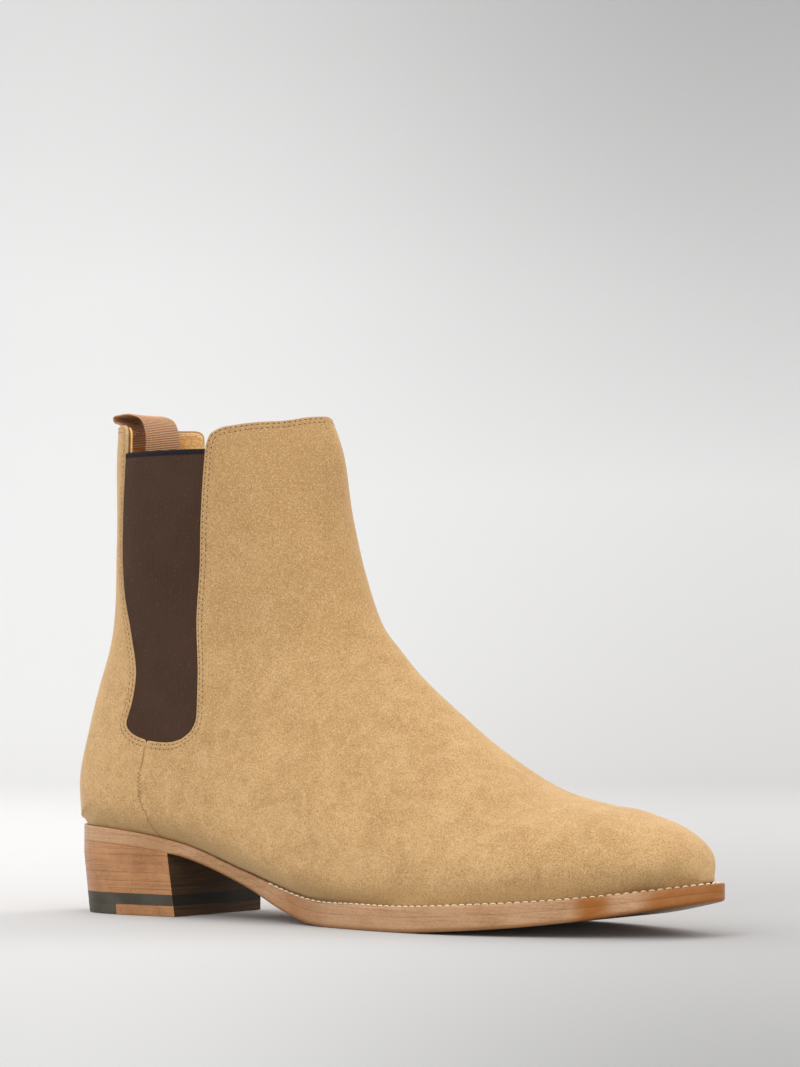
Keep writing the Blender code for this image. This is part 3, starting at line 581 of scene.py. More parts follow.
def sole_look(name, amber, pale, dark):
    """Burnished sole leather: fine level lines, cloudy dye and worn amber patches."""
    look = Look(name, Roughness=0.42, Coat_Weight=0.15, Coat_Roughness=0.3, Specular_IOR_Level=0.35)
    lines = look.noise(260, 4, 0.65, stretch=(0.10, 0.10, 5.0))
    fibres = look.noise(1100, 3, 0.65, stretch=(0.7, 0.7, 1.6))
    clouds = look.noise(55, 3, 0.5, distortion=0.5)
    blot = look.noise(60, 3, 0.6, distortion=1.0)
    colour = look.mix(look.band(clouds, 0.30, 0.70), dark, pale)
    colour = look.mix(look.band(lines, 0.34, 0.56, 0.40, 0.0), colour, tuple(0.62 * v for v in dark))
    colour = look.mix(look.band(fibres, 0.50, 0.72, 0.0, 0.45), colour, tuple(min(1.3 * v, 1) for v in pale))
    colour = look.mix(look.band(fibres, 0.28, 0.46, 0.45, 0.0), colour, tuple(0.55 * v for v in dark))
    share = look.math("MULTIPLY", look.field("amber"), look.band(blot, 0.25, 0.55, 0.45, 1.0))
    colour = look.mix(share, colour, amber)
    colour = look.mix(look.band(look.field("rim"), 0.80, 1.0, 0.0, 0.6), colour, tuple(0.75 * v for v in amber))
    look.set("Base Color", colour)
    look.set("Roughness", look.band(fibres, 0.3, 0.7, 0.34, 0.56))
    look.bump((lines, 0.06), (fibres, 0.07))
    return look.material


def breast_look():
    """The heel's front face: the same layers, dyed dark and darkened further to almost black with painted shade."""
    look = Look("heel_breast_dye_and_shade", Roughness=0.6, Specular_IOR_Level=0.2)
    lines = look.noise(260, 4, 0.65, stretch=(0.10, 0.10, 5.0))
    fibres = look.noise(1100, 3, 0.65)
    colour = look.mix(look.band(lines, 0.35, 0.6), (0.044, 0.024, 0.010), (0.088, 0.050, 0.022))
    look.set("Base Color", look.mix(look.band(fibres, 0.5, 0.75, 0.0, 0.4), colour, (0.14, 0.088, 0.040)))
    look.bump((lines, 0.05), (fibres, 0.05))
    return look.material


def insole_look():
    look = Look("insole_leather", Roughness=0.6)
    grain = look.noise(500, 4, 0.6)
    clouds = look.noise(40, 3, 0.5)
    colour = look.mix(look.band(clouds, 0.3, 0.7), (0.50, 0.32, 0.17), (0.62, 0.42, 0.24))
    look.set("Base Color", look.mix(look.band(grain, 0.5, 0.75, 0.0, 0.5), colour, (0.40, 0.24, 0.12)))
    look.bump((grain, 0.12))
    return look.material


def rubber_look(name, tone):
    look = Look(name, Roughness=0.6, Specular_IOR_Level=0.25)
    grain = look.noise(1100, 3, 0.6)
    clouds = look.noise(80, 3, 0.6)
    lines = look.noise(300, 3, 0.6, stretch=(0.15, 0.15, 3.0))
    colour = look.mix(look.band(clouds, 0.3, 0.7), tuple(tone * v for v in (0.052, 0.046, 0.033)),
                      tuple(tone * v for v in (0.088, 0.078, 0.057)))
    colour = look.mix(look.band(grain, 0.60, 0.75, 0.0, 0.5), colour,
                      tuple(tone * v for v in (0.15, 0.135, 0.10)))
    look.set("Base Color", colour)
    look.set("Roughness", look.band(clouds, 0.3, 0.7, 0.5, 0.72))
    look.bump((grain, 0.10), (lines, 0.08))
    return look.material


def cork_look():
    look = Look("cork", Roughness=0.92)
    grain = look.cells(380)
    dark = look.cells(140, "DISTANCE_TO_EDGE")
    colour = look.mix(look.band(grain, 0.1, 0.8), (0.42, 0.26, 0.13), (0.25, 0.14, 0.06))
    look.set("Base Color", look.mix(look.band(dark, 0.0, 0.08, 0.7, 0.0), colour, (0.12, 0.06, 0.03)))
    look.bump((grain, 0.3))
    return look.material


def fibreboard_look():
    look = Look("fibreboard", Roughness=0.9)
    fibre = look.noise(600, 4, 0.65, stretch=(1.0, 0.4, 1.0))
    look.set("Base Color", look.mix(look.band(fibre, 0.3, 0.7), (0.34, 0.26, 0.17), (0.52, 0.42, 0.30)))
    look.bump((fibre, 0.15))
    return look.material


def metal_look(name, pale, dark):
    look = Look(name, Metallic=1.0, Roughness=0.35)
    scratch = look.noise(900, 3, 0.6, stretch=(1.0, 1.0, 0.2))
    tarnish = look.noise(300, 3, 0.6)
    look.set("Base Color", look.mix(look.band(tarnish, 0.35, 0.7), pale, dark))
    look.set("Roughness", look.band(scratch, 0.3, 0.7, 0.25, 0.5))
    look.bump((scratch, 0.03))
    return look.material


def thread_look(name, pale, dark, twist=1800):
    look = Look(name, Roughness=0.75, Sheen_Weight=0.2, Specular_IOR_Level=0.25)
    fibre = look.noise(twist, 2, 0.6)
    look.set("Base Color", look.mix(look.band(fibre, 0.35, 0.65), dark, pale))
    look.bump((fibre, 0.06))
    return look.material


SUEDE, CUT_EDGE = suede_look(), edge_look()
ELASTIC, SELVEDGE, RIBBON, LINING_LOOK = elastic_look(), selvedge_look(), ribbon_look(), lining_look()
SOLE_EDGE = sole_look("sole_leather", (0.32, 0.100, 0.003), (0.53, 0.305, 0.160), (0.42, 0.220, 0.096))
HEEL_LEATHER = sole_look("heel_leather", (0.38, 0.16, 0.05), (0.51, 0.250, 0.103), (0.35, 0.148, 0.052))
BREAST_DYE_AND_SHADE_LOOK = breast_look()
INSOLE_LOOK, CORK, FIBREBOARD = insole_look(), cork_look(), fibreboard_look()
# painted shade: the same rubber at 0.3 of its tone, for the heel's front face, which lies in shade
RUBBER, RUBBER_PAINTED_SHADE = rubber_look("rubber", 1.0), rubber_look("rubber_breast_painted_shade", 0.3)
STEEL = metal_look("steel", (0.60, 0.60, 0.62), (0.42, 0.41, 0.42))
BRASS = metal_look("brass", (0.75, 0.55, 0.22), (0.50, 0.34, 0.12))
SEAM_THREAD = thread_look("seam_thread", (0.60, 0.40, 0.20), (0.34, 0.19, 0.08))
WELT_THREAD = thread_look("welt_thread", (0.95, 0.84, 0.62), (0.78, 0.62, 0.40))
LINING_THREAD = thread_look("lining_thread", (0.93, 0.78, 0.55), (0.74, 0.52, 0.28))
# painted shade: the dark colour of the blobs that stand for the needle holes
NEEDLE_HOLE_PAINTED_SHADE = thread_look("needle_hole_painted_shade", (0.13, 0.07, 0.03), (0.06, 0.033, 0.014))

PIECES = []


def piece(made, body, replaced=()):
    """Says which body a finished piece rides on and which CAD nodes it stands for."""
    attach(made, body)
    if replaced:
        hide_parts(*replaced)
    PIECES.append(made)
    return made


def bending_piece(made, replaced=()):
    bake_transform(made)
    if replaced:
        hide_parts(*replaced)
    PIECES.append(made)
    return made


def part_point(x, y, z):
    return ((x - FRAME_X) * MM, (y - FRAME_Y) * MM, z * MM)


# ---------------------------------------------------------------- the upper
ROW_COUNT, COLUMN_COUNT = 300, 74


def upper_sheet():
    """The whole outer surface of the upper as one sheet, tucked in under its feather line."""
    u = np.linspace(0, 0.9995, 6000)
    front = np.stack([at_u("front_x", u), at_u("front_z", u)], 1)
    back_x = at_u("back_x", u)
    end = np.stack([back_x, np.where(u <= SEAT, 0, footprint(-1, back_x)), at_u("back_z", u)], 1)
    travel = np.linalg.norm(np.diff(front, axis=0), axis=1) + np.linalg.norm(np.diff(end, axis=0), axis=1)
    along = np.concatenate([[0], np.cumsum(travel)])
    upper_rows = int(ROW_COUNT * np.interp(SEAT, u, along) / along[-1])
    at_seat = np.interp(SEAT, u, along)
    rows = np.concatenate([np.interp(np.linspace(0, at_seat, upper_rows + 1), along, u)[:-1],
                           np.interp(np.linspace(at_seat, along[-1], ROW_COUNT - upper_rows), along, u)])
    rows[upper_rows] = SEAT
    t = np.linspace(0, 1, COLUMN_COUNT + 1)
    left = skin(rows[:, None], -1, t[None, ::-1])
    right = skin(rows[:, None], 1, t[None, :])
    points = np.concatenate([left, right[:, 1:]], axis=1)
    width = points.shape[1]
    points[:, COLUMN_COUNT, 1] = 0.0
    wall = np.arange(len(rows)) <= upper_rows
    points[wall, 0, 1] = 0.0
    index = np.arange(len(rows) * width).reshape(len(rows), width)
    flat = [points.reshape(-1, 3)]
    index[wall, -1] = index[wall, 0]
    total = len(rows) * width
    # tuck: two more columns at each feather end, turned in under the upper
    tucked = {}
    for end_column, inner in ((0, 1), (width - 1, width - 2)):
        rim = points[upper_rows:, end_column]
        plan = rim[:, :2].copy()
        step = np.gradient(plan, axis=0)
        step[0] = step[0] if abs(step[0]).sum() > 0 else (1e-6, 1.0)
        turn = np.stack([step[:, 1], -step[:, 0]], 1) / np.maximum(np.linalg.norm(step, axis=1, keepdims=True), 1e-9)
        if end_column == 0:
            turn = -turn
        centre = np.array([150.0, 0.0])
        turn[0] = (1.0, 0.0)
        turn[-1] = (-1.0, 0.0)
        wrong = ((centre - plan) * turn).sum(1) < 0
        turn[wrong] *= -1
        rings = []
        for inward, down in ((0.30, 0.52), (1.3, 0.68)):
            ring = rim.copy()
            ring[:, :2] += turn * inward
            ring[:, 2] -= down
            rings.append(np.arange(total, total + len(ring)))
            flat.append(ring)
            total += len(ring)
        tucked[end_column] = rings
    quads = []
    for i in range(len(rows) - 1):
        for c in range(width - 1):
            quads.append((index[i, c], index[i, c + 1], index[i + 1, c + 1], index[i + 1, c]))
    for end_column, rings in tucked.items():
        strip = [index[upper_rows:, end_column]] + rings
        for a, b in zip(strip, strip[1:]):
            for i in range(len(a) - 1):
                quad = (a[i], a[i + 1], b[i + 1], b[i])
                quads.append(quad if end_column == 0 else quad[::-1])
    flat.append(np.array([[TOE_TIP, 0.0, float(feather(TOE_TIP)) + SEAT_GAP + 0.3]]))
    tip = total
    last = list(index[-1])
    triangles = []
    for a, b, c, d in quads:
        triangles += [(a, b, c), (a, c, d)]
    for a, b in zip(last, last[1:]):
        triangles.append((a, b, tip))
    points = np.concatenate(flat)
    triangles = np.array([t for t in triangles if len(set(t)) == 3])
    used, again = np.unique(triangles, return_inverse=True)
    sheet = Sheet(points[used], again.reshape(-1, 3))
    normal = sheet.normals()
    outward = ((sheet.points - [120, 0, 80]) * normal).sum(1)
    if outward.mean() < 0:
        sheet.triangles = sheet.triangles[:, ::-1]
    height = sheet.points[:, 2] - feather(sheet.points[:, 0])
    # painted shade: the field low is 1 at the feather line and fades out 15 mm above it; it darkens the suede where the
    # upper meets the welt
    sheet.fields["low"] = 1 - smooth(height, 0.0, 15.0)
    return sheet


def panel(whole, seam, stitched, outline):
    """The part of the upper inside a side-view outline, with fields for the distance to its edges."""
    sheet = whole.copy()
    where = inside(outline, sheet.points[:, 0], sheet.points[:, 2])
    stitch = distance_to_edge(sheet.points, stitched)
    near = np.minimum(stitch, distance_to_edge(sheet.points, seam))
    sheet.fields["edge"] = np.where(where, near, -near)
    sheet.fields["stitch"] = np.where(where, stitch, -stitch)
    sheet.keep_above("edge")
    return sheet


def finish_leather(sheet):
    """Adds the lines of points that let the edge roll over and the stitch rows sink in."""
    for level in (0.25, 0.6, 1.1):
        sheet.split("edge", level)
    for row in STITCH_ROWS:
        for level in (row - 0.45, row, row + 0.45):
            sheet.split("stitch", level)
    edge, stitch = sheet.fields["edge"], sheet.fields["stitch"]
    sink = 0.38 * np.clip(1 - stitch / 1.1, 0, 1)**2 + 0.05 * np.clip(1 - edge / 0.6, 0, 1)**2
    for row in STITCH_ROWS:
        sink += 0.16 * np.clip(1 - np.abs(stitch - row) / 0.45, 0, 1)
    between = (STITCH_ROWS[0] + STITCH_ROWS[1]) / 2
    sink -= 0.10 * np.clip(1 - np.abs(stitch - between) / 0.6, 0, 1)
    return sink


def front_polygon(lowered=0.0):
    seam, stitched = front_edges(lowered)
    return seam + stitched + [(320.0, 206.0), (320.0, 2.0), (80.0, 2.0), (56.0, 20.0)]


def back_polygon(lowered=0.0):
    seam, stitched = back_edges(lowered)
    return [(-20.0, BACK_TOP - lowered)] + stitched + seam[::-1] + [(56.0, 20.0), (56.0, 2.0), (-20.0, 2.0)]


def leather_object(name, sheet, sink, looks):
    top = np.clip(1 - sheet.fields["stitch"] / FOLDED_REACH, 0, 1) * (sheet.points[:, 2] > 186)
    thickness = SKIVED + (LEATHER - SKIVED) * smooth(sheet.fields["stitch"], 1.0, SKIVED_OVER) - sink * 0.6
    thickness = thickness + FOLDED_EDGE * smooth(top, 0.0, 0.35)
    points, faces = thicken(sheet, sink, thickness)
    count = len(sheet.triangles)
    indices = [0] * count + [1] * (len(faces) - count)
    # low carries the painted shade along the feather line to the suede material
    fields = {"low": np.concatenate([sheet.fields["low"]] * 2)}
    return mesh_object(name, points, faces, looks, fields, indices=indices)


WHOLE = upper_sheet()


def build_upper():
    for name, edges, polygon, replaced in (
            ("front_upper", front_edges, front_polygon, ("front_upper",)),
            ("quarter", back_edges, back_polygon, ("quarter_lower", "quarter_upper"))):
        seam, stitched = edges()
        sheet = panel(WHOLE, seam, stitched, polygon())
        made = leather_object("suede_" + name, sheet, finish_leather(sheet), [SUEDE, CUT_EDGE])
        if name == "quarter":
            bending_piece(made, replaced)
        else:
            piece(made, "boot", replaced)
    for name, edges, polygon, replaced in (
            ("front", front_edges, front_polygon, ("lining_front",)),
            ("quarter", back_edges, back_polygon, ("lining_quarter_lower", "lining_quarter_upper"))):
        seam, stitched = edges(0.8)
        sheet = panel(WHOLE, seam, stitched, polygon(0.8))
        sheet.split("edge", 0.4)
        sink = 0.25 * np.clip(1 - sheet.fields["edge"] / 0.4, 0, 1)
        points, faces = thicken(sheet, LINING_DEPTH, LINING - sink)
        made = mesh_object("lining_" + name, points, faces, LINING_LOOK)
        if name == "quarter":
            bending_piece(made, replaced)
        else:
            piece(made, "boot", replaced)
    toe = [(238.0, 5.0), (243.0, 30.0), (236.0, 70.0), (291.0, 70.0), (291.0, 5.0)]
    heel = [(-20.0, 5.0), (-20.0, 70.0), (18.0, 70.0), (40.0, 66.0), (58.0, 52.0), (70.0, 40.0), (76.0, 5.0)]
    for name, outline in (("toe_puff", toe), ("heel_counter", heel)):
        sheet = WHOLE.copy()
        line = [np.array([x, 0.0, z]) for x, z in dense(outline + outline[:1])]
        flat = sheet.points * [1.0, 0.0, 1.0]
        away = distance(flat, line)
        sheet.fields["edge"] = np.where(inside(outline, flat[:, 0], flat[:, 2]), away, -away)
        sheet.keep_above("edge", 0.2)
        points, faces = thicken(sheet, STIFFENER_DEPTH, STIFFENER)
        piece(mesh_object(name + "_board", points, faces, FIBREBOARD), "boot", (name,))


def build_gores():
    """Each gore is a woven sheet with standing ribs, let in under the leather on three sides."""
    ribs = 56
    per_rib = 4
    us = np.linspace(0, 1, ribs * per_rib + 1)
    zs = np.concatenate([np.linspace(GORE_BOTTOM - GORE_UNDER, GORE_TOP - 3.0, 70),
                         GORE_TOP - 3.0 + np.array([0.5, 0.75, 0.9, 1.2, 1.8, 2.4, 2.8, 3.0])])
    for side, name in ((-1, "lateral"), (1, "medial")):
        edge_z = np.clip(zs, 79, 190)
        back = through(GORE_BACK_EDGE, edge_z) - GORE_UNDER * 0.8
        front = through(GORE_FRONT_EDGE, edge_z) + GORE_UNDER * 0.8
        x = back[:, None] + (front - back)[:, None] * us[None, :]
        z = np.broadcast_to(zs[:, None], x.shape)
        points, normal = lift_with_normal(x, z, side)
        within = np.minimum.reduce([x - back[:, None] - GORE_UNDER * 0.8, front[:, None] - GORE_UNDER * 0.8 - x,
                                    z - GORE_BOTTOM])
        depth = GORE_DEPTH_EDGE + (GORE_DEPTH_MIDDLE - GORE_DEPTH_EDGE) * smooth(within, 0.0, 9.0)
        depth = depth + (LEATHER - SKIVED) * smooth(-within, 0.5, SKIVED_OVER - 0.5)
        phase = us * ribs
        rib = RIB_HEIGHT * (np.sin(2 * math.pi * phase)[None, :]) * (z < GORE_TOP - 2.2)
        rolled = 0.2 * np.exp(-((z - (GORE_TOP - 1.0)) / 0.9)**2)
        rolled = rolled - 0.45 * smooth(z, GORE_TOP - 0.5, GORE_TOP)
        outer = points - normal * (depth - rib - rolled)[..., None]
        inner = points - normal * (depth + GORE_THICKNESS)[..., None]
        rows, columns = x.shape
        count = rows * columns
        index = np.arange(count).reshape(rows, columns)
        faces = []
        indices = []
        for i in range(rows - 1):
            band = 1 if zs[i] >= GORE_TOP - 2.3 else 0
            for k in range(columns - 1):
                quad = [index[i, k], index[i, k + 1], index[i + 1, k + 1], index[i + 1, k]]
                quad = quad if side < 0 else quad[::-1]
                faces.append(quad)
                faces.append([corner + count for corner in quad[::-1]])
                indices += [band, 0]
        rim = ([(index[0, k], index[0, k + 1]) for k in range(columns - 1)]
               + [(index[i, -1], index[i + 1, -1]) for i in range(rows - 1)]
               + [(index[-1, k + 1], index[-1, k]) for k in range(columns - 1)]
               + [(index[i + 1, 0], index[i, 0]) for i in range(rows - 1)])
        for a, b in rim:
            quad = [b, a, a + count, b + count]
            faces.append(quad if side < 0 else quad[::-1])
            indices.append(0)
        uv = np.stack([np.broadcast_to(phase[None, :], x.shape).reshape(-1), z.reshape(-1) / 0.9], 1)
        uv = np.concatenate([uv, uv])
        made = mesh_object("gore_" + name + "_elastic", np.concatenate([outer.reshape(-1, 3), inner.reshape(-1, 3)]),
                           faces, [ELASTIC, SELVEDGE], uv=uv, indices=indices, sharp=75)
        bending_piece(made,
                      ("gore_" + name,))


# ---------------------------------------------------------------- stitches
def stitch_template(rings=6, around=6):
    """A short thread of length 1 along x, height 1 in z and width 1 in y, its ends going down."""
    points, faces = [], []
    for i in range(rings + 1):
        t = i / rings
        swell = max(math.sin(math.pi * t), 0.0)**0.5
        x = t - 0.5
        arch = 0.5 * math.sin(math.pi * t)
        for k in range(around):
            turn = 2 * math.pi * k / around
            points.append((x, 0.5 * swell * math.cos(turn), arch + 0.5 * swell * math.sin(turn)))
    for i in range(rings):
        for k in range(around):
            n = (k + 1) % around
            faces.append((i * around + k, i * around + n, (i + 1) * around + n, (i + 1) * around + k))
    return np.array(points), faces


def stitches(name, path, normal, pitch, length, width, height, look, slant=0.0, lift_by=0.0, phase=0.5):
    """One mesh of threads laid along a path on a surface; several paths give several runs."""
    template, template_faces = stitch_template()
    all_points, all_faces = [], []
    for points, normals in zip(path, normal):
        along = np.concatenate([[0], np.cumsum(np.linalg.norm(np.diff(points, axis=0), axis=1))])
        count = int(along[-1] / pitch)
        at = (np.arange(count) + phase) * pitch
        centre = np.stack([np.interp(at, along, points[:, k]) for k in range(3)], 1)
        ahead = np.stack([np.interp(at + 0.3, along, points[:, k]) for k in range(3)], 1)
        behind = np.stack([np.interp(at - 0.3, along, points[:, k]) for k in range(3)], 1)
        up = np.stack([np.interp(at, along, normals[:, k]) for k in range(3)], 1)
        up /= np.linalg.norm(up, axis=1, keepdims=True)
        tangent = ahead - behind
        tangent /= np.maximum(np.linalg.norm(tangent, axis=1, keepdims=True), 1e-9)
        across = np.cross(up, tangent)
        across /= np.linalg.norm(across, axis=1, keepdims=True)
        tangent = tangent + across * slant
        tangent /= np.linalg.norm(tangent, axis=1, keepdims=True)
        for c, t, a, n in zip(centre, tangent, across, up):
            start = sum(len(block) for block in all_points)
            all_points.append(c + n * lift_by + template[:, :1] * length * t + template[:, 1:2] * width * a
                              + template[:, 2:] * height * n)
            all_faces += [tuple(corner + start for corner in face) for face in template_faces]
    return mesh_object(name, np.concatenate(all_points), all_faces, look)


def row_beside(edge, side, away, inward_sign):
    """A path on the surface beside a side-view edge, at a distance, and its normals."""
    edge = np.array(dense(edge, 0.8), float)
    points, normal = lift_with_normal(edge[:, 0], edge[:, 1], side)
    tangent = np.gradient(points, axis=0)
    tangent /= np.maximum(np.linalg.norm(tangent, axis=1, keepdims=True), 1e-9)
    direction = np.cross(normal, tangent) * inward_sign
    moved = points + direction * away
    return lift_with_normal(moved[:, 0], moved[:, 2], side)


def build_stitches():
    _, front = front_edges()
    _, back = back_edges()
    for panel_name, edge, body in (("front", front, "boot"), ("quarter", back, None)):
        for number, away in enumerate(STITCH_ROWS, 1):
            paths, normals = [], []
            for side in (-1, 1):
                points, normal = row_beside(edge, side, away, side)
                ok = np.abs(points[:, 1]) > 0.3
                paths.append(points[ok])
                normals.append(normal[ok])
            threads = stitches(f"stitch_row_{panel_name}_{number}", paths, normals, STITCH_PITCH, 1.45, 0.55, 0.40,
                               SEAM_THREAD, slant=0.10, lift_by=-0.22)
            # painted shade: small dark blobs between the stitches stand for the shade inside the needle holes
            hole_shades = stitches(f"needle_hole_shade_{panel_name}_{number}", paths, normals, STITCH_PITCH, 0.85, 0.62, 0.16,
                             NEEDLE_HOLE_PAINTED_SHADE, lift_by=-0.17, phase=1.0)
            for made in (threads, hole_shades):
                if body:
                    piece(made, body)
                else:
                    bending_piece(made)
    for panel_name, edge, body in (("front", front_edges(0.8)[1], "boot"), ("quarter", back_edges(0.8)[1], None)):
        edge = [p for p in edge if p[1] > GORE_TOP + 1.0]
        paths, normals = [], []
        for side in (-1, 1):
            points, normal = row_beside(edge, side, 1.3, side)
            ok = np.abs(points[:, 1]) > 0.3
            paths.append(points[ok] - normal[ok] * (LINING_DEPTH + LINING))
            normals.append(-normal[ok])
        made = stitches(f"lining_stitches_{panel_name}", paths, normals, 2.4, 1.8, 0.6, 0.42, LINING_THREAD,
                        lift_by=-0.05)
        if body:
            piece(made, body)
        else:
            bending_piece(made)


# ---------------------------------------------------------------- the bottom
def perimeter(side, count=300):
    """Stations round one side of the footprint: plan points and outward directions."""
    x = HEEL_BACK + (TOE_TIP - HEEL_BACK) * (1 - np.cos(np.linspace(0, math.pi, count))) / 2
    y = footprint(side, x)
    dx, dy = np.gradient(x), np.gradient(y)
    length = np.hypot(dx, dy)
    out_x, out_y = -dy / length, dx / length
    out_x[0], out_y[0], out_x[-1], out_y[-1] = -1.0, 0.0, 1.0, 0.0
    y[0] = y[-1] = 0.0
    return x, y, out_x, out_y


def edge_profile(radius_top, radius_low, steps=4):
    """Corner-rounded profile: rows of (how far in from the edge, share of height, drop in mm)."""
    rows = [(radius_top, 1.0, 0.0)]
    for i in range(1, steps + 1):
        turn = math.pi / 2 * i / steps
        rows.append((radius_top * (1 - math.sin(turn)), 1.0, -radius_top * (1 - math.cos(turn))))
    for i in range(steps + 1):
        turn = math.pi / 2 * i / steps
        rows.append((radius_low * (1 - math.cos(turn)), 0.0, radius_low * (1 - math.sin(turn))))
    return rows


def amber_at(x):
    """Where the burnished edge is worn through to a stronger amber."""
    patches = 1.0 * np.exp(-((x - 265.0) / 6.0)**4) + 0.95 * smooth(x, 278.0, 286.0)
    return np.clip(patches + 0.55 * np.exp(-((x - 128.0) / 9.0)**2), 0, 1)


def plate(name, overhang, top, bottom, look, radius=(0.5, 0.5), start=None, end=None, count=300, end_look=None,
          rounded=None):
    """A plate across the boot: rounded edge all round, flat top and bottom, cut square at start or end."""
    profile = edge_profile(*radius)
    sides = {}
    for side in (-1, 1):
        x, y, out_x, out_y = perimeter(side, count)
        out = overhang(x) if callable(overhang) else np.full(len(x), float(overhang))
        rows = []
        for inward, share, drop in profile:
            soft = rounded(x) if rounded and share < 0.5 else 1.0
            inward, drop = inward * soft, drop * soft
            reach = out - inward
            px, py = x + out_x * reach, np.maximum(y + out_y * reach, 0.0)
            high, low = top(px), bottom(px)
            room = np.minimum((high - low) / (abs(radius[0]) + abs(radius[1]) + 0.05), 1.0)
            rows.append(np.stack([px, side * py, np.where(share > 0.5, high, low) + drop * room], 1))
        sides[side] = np.stack(rows, 1)
    spine = sides[-1][:, 2]

    def cut_at(limit):
        return float(limit(spine[:, 2].mean())) if callable(limit) else limit

    first = 0 if start is None else int(np.searchsorted(spine[:, 0], cut_at(start)))
    last = count - 1 if end is None else int(np.searchsorted(spine[:, 0], cut_at(end))) - 1
    stations = {side: rows[first:last + 1].copy() for side, rows in sides.items()}
    for side, rows in stations.items():
        for limit, at in ((start, 0), (end, -1)):
            if limit is None:
                rows[at, :, 1] = 0.0
                continue
            whole = sides[side]
            for k in range(rows.shape[1]):
                order = np.argsort(whole[:, k, 0])
                at_x = float(limit(stations[side][at, k, 2])) if callable(limit) else limit
                for axis in (1, 2):
                    rows[at, k, axis] = np.interp(at_x, whole[order, k, 0], whole[order, k, axis])
                rows[at, k, 0] = at_x
    width = len(profile)
    points = np.concatenate([stations[-1].reshape(-1, 3), stations[1].reshape(-1, 3)])
    length = stations[-1].shape[0]
    grid = {-1: np.arange(length * width).reshape(length, width),
            1: length * width + np.arange(length * width).reshape(length, width)}
    for at, limit in ((0, start), (-1, end)):
        if limit is None:
            grid[1][at] = grid[-1][at]
    faces = []
    for i in range(length - 1):
        for k in range(width - 1):
            faces.append((grid[-1][i, k], grid[-1][i, k + 1], grid[-1][i + 1, k + 1], grid[-1][i + 1, k]))
            faces.append((grid[1][i, k], grid[1][i + 1, k], grid[1][i + 1, k + 1], grid[1][i, k + 1]))
        faces.append((grid[-1][i, 0], grid[-1][i + 1, 0], grid[1][i + 1, 0], grid[1][i, 0]))
        faces.append((grid[-1][i, -1], grid[1][i, -1], grid[1][i + 1, -1], grid[-1][i + 1, -1]))
    edge_faces = len(faces)
    for at, limit, flip in ((0, start, 1), (-1, end, -1)):
        if limit is not None:
            for k in range(width - 1):
                faces.append((grid[-1][at, k], grid[1][at, k], grid[1][at, k + 1], grid[-1][at, k + 1])[::flip])
    clean, indices = [], []
    for number, face in enumerate(faces):
        corners = list(dict.fromkeys(int(c) for c in face))
        if len(corners) > 2:
            clean.append(corners)
            indices.append(1 if end_look and number >= edge_faces else 0)
    low_rim = np.tile([0.0 if share > 0.5 else 1.0 for _, share, _ in profile], 2 * length)
    fields = {"amber": amber_at(points[:, 0]), "rim": low_rim if name == "outsole_leather" else 0 * low_rim}
    return mesh_object(name, points, clean, [look] + ([end_look] if end_look else []), fields, indices=indices,
                       sharp=50)


def ring(name, overhang, inset, top, bottom, look, keep, radius=(0.6, 0.6), groove=None, count=300):
    """A strip round the footprint under the feather line, over the stations that keep(x) accepts."""
    profile = edge_profile(*radius)
    strips = {}
    for side in (-1, 1):
        x, y, out_x, out_y = perimeter(side, count)
        kept = keep(x)
        x, y, out_x, out_y = x[kept], y[kept], out_x[kept], out_y[kept]
        out = overhang(x)
        rows = []
        spots = [(-inset, 1.0, 0.0, True)]
        if groove:
            centre, half, depth = groove
            spots += [(centre - half, 1.0, 0.0, True), (centre - half * 0.5, 1.0, -depth, True),
                      (centre + half * 0.5, 1.0, -depth, True), (centre + half, 1.0, 0.0, True)]
        spots += [(inward, share, drop, False) for inward, share, drop in profile]
        spots += [(-inset, 0.0, 0.0, True)]
        for amount, share, drop, absolute in spots:
            reach = np.full(len(x), amount) if absolute else out - amount
            reach = np.minimum(reach, out - radius[0] * 0.2) if absolute else reach
            px, py = x + out_x * reach, np.maximum(y + out_y * reach, 0.0)
            high, low = top(px), bottom(px)
            rows.append(np.stack([px, side * py, np.where(share > 0.5, high, low) + drop], 1))
        strips[side] = np.stack(rows, 1)
    joined_at_toe = keep(np.array([TOE_TIP]))[0]
    if joined_at_toe:
        rows = np.concatenate([strips[-1][:-1], strips[1][::-1]])
    else:
        rows = np.concatenate([strips[-1][::-1], strips[1][1:]])
    length, width, _ = rows.shape
    index = np.arange(length * width).reshape(length, width)
    faces = []
    for i in range(length - 1):
        for k in range(width):
            n = (k + 1) % width
            faces.append((index[i, k], index[i, n], index[i + 1, n], index[i + 1, k]))
    faces.append(tuple(index[0])[::-1])
    faces.append(tuple(index[-1]))
    if not joined_at_toe:
        faces = [face[::-1] for face in faces]
    points = rows.reshape(-1, 3)
    fields = {"amber": amber_at(points[:, 0]), "rim": np.zeros(len(points))}
    return mesh_object(name, points, [tuple(map(int, face)) for face in faces], look, fields, sharp=50)


def heel_overhang(z):
    return HEEL_OVERHANG_BOTTOM + (HEEL_OVERHANG_TOP - HEEL_OVERHANG_BOTTOM) * z / HEEL_TOP


def breast(z):
    return BREAST_BOTTOM + (BREAST_TOP - BREAST_BOTTOM) * z / HEEL_TOP


def level(z):
    return lambda x: np.full(np.shape(x), float(z))


